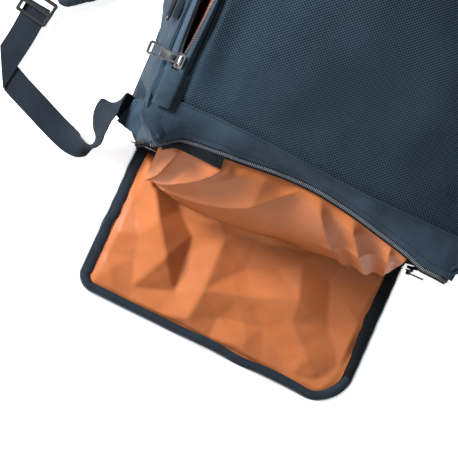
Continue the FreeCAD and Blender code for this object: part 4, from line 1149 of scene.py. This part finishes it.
ANCHOR_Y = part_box("strap_anchors")[0][1] + 0.012
for side, word in SIDES:
    def anchor_place(u, v, side=side):
        x = 0.168 + (0.200 - 0.168) * u
        y = ANCHOR_Y + 0.030 * v - 0.022 * u
        return (side * x, y, 0.0125 - 0.006 * u * u + 0.0012 * arch(u))
    anchor = cloth("strap_anchor_cloth_" + word, 0.032, 0.03, 16, 14, anchor_place, 0.0016, WEBBING,
                   flip=side < 0)
    attach(anchor, "bag", "webbing", "strap_anchors")


# ---------------------------------------------------------------- back panel
# Padded back that the bag lies on: foam in mesh cloth, sewn in at the gussets' feet, with
# a stiff board lying on it inside the bag.
pad_piece("back_cushion", "back_panel", "bag", 0.0)


def hard_material(name, base, metallic, rough, grain_size, bump):
    """Metal or moulded plastic with fine grain, handling marks and soft wear."""
    material = bpy.data.materials.new(name)
    material.use_nodes = True
    tree = material.node_tree
    tree.nodes["Principled BSDF"].inputs["Metallic"].default_value = metallic
    place = tree.nodes.new("ShaderNodeTexCoord")
    marks = weave_or_mottle(tree, MOTTLE, "Size", grain_size, place.outputs["Object"])
    worn, fresh = [c * 0.75 for c in base], [min(1, c * 1.15) for c in base]
    tone_colour_and_relief(tree, marks, 0.3, (worn, fresh), (rough * 0.7, rough * 1.4), bump, 0.0001)
    return material


BOARD = hard_material("board_sheet", (0.10, 0.10, 0.105), 0.0, 0.5, 0.01, 0.3)
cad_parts["back_board"].data.materials.clear()
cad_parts["back_board"].data.materials.append(BOARD)


# ---------------------------------------------------------------- handles
# Webbing haul handle on the top end and padded handle on the right gusset, each sewn down
# under a box-stitched patch.
def shaped_copy(name, node, material, body, slot, bevel=0.0008):
    """Detailed copy of a webbing or moulded node: merged, its edges rounded."""
    piece = solid_copy(name, node, flatten=True)
    modify(piece, "rounding", "BEVEL", width=bevel, segments=3, limit_method="ANGLE",
           angle_limit=math.radians(40))
    finish_piece(piece, material, 40)
    attach(piece, body, slot, node)
    return piece


HANDLE_WEB = cloth_material("handle_webbing", (0.003, 0.004, 0.006), (0.026, 0.034, 0.046), 0.0018,
                            mottle=0.04, bump=0.7, depth=0.0005, weave_share=0.6, source="Object")
for handle in ("haul_handle", "side_handle"):
    shaped_copy(handle + "_webbing", handle, HANDLE_WEB, handle, "webbing")
    shaped_copy(handle + "_patches", handle + "_anchors", HANDLE_WEB, "bag", "webbing")
pad_piece("side_handle_cushion", "side_handle_grip", "side_handle", 0.0)
for word in ("left", "right"):
    shaped_copy("ring_loop_cloth_" + word, "ring_loop_" + word, HANDLE_WEB, "bag", "webbing", 0.0004)


# ---------------------------------------------------------------- metal and moulded hardware
# Plated zinc sliders and pulls on the long zippers, and black moulded ladder locks, D rings
# and pocket slider, each threaded on its webbing, loop or coil.
SILVER = hard_material("plated_zinc", (0.24, 0.245, 0.255), 1.0, 0.32, 0.003, 0.25)
BLACK = hard_material("black_acetal", (0.014, 0.014, 0.015), 0.0, 0.42, 0.0015, 0.3)
for node in ("main_slider", "second_slider", "main_pull", "second_pull"):
    shaped_copy(node + "_metal", node, SILVER, node, "silver_metal", 0.0003)
for node, body in (("pocket_slider", "pocket_slider"), ("pocket_pull", "pocket_pull"),
                   ("left_ladder_lock", "left_strap"), ("right_ladder_lock", "right_strap")):
    shaped_copy(node + "_moulding", node, BLACK, body, "black_hardware", 0.0005)
for node in ("d_ring_left", "d_ring_right"):
    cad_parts[node].data.materials.clear()
    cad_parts[node].data.materials.append(BLACK)
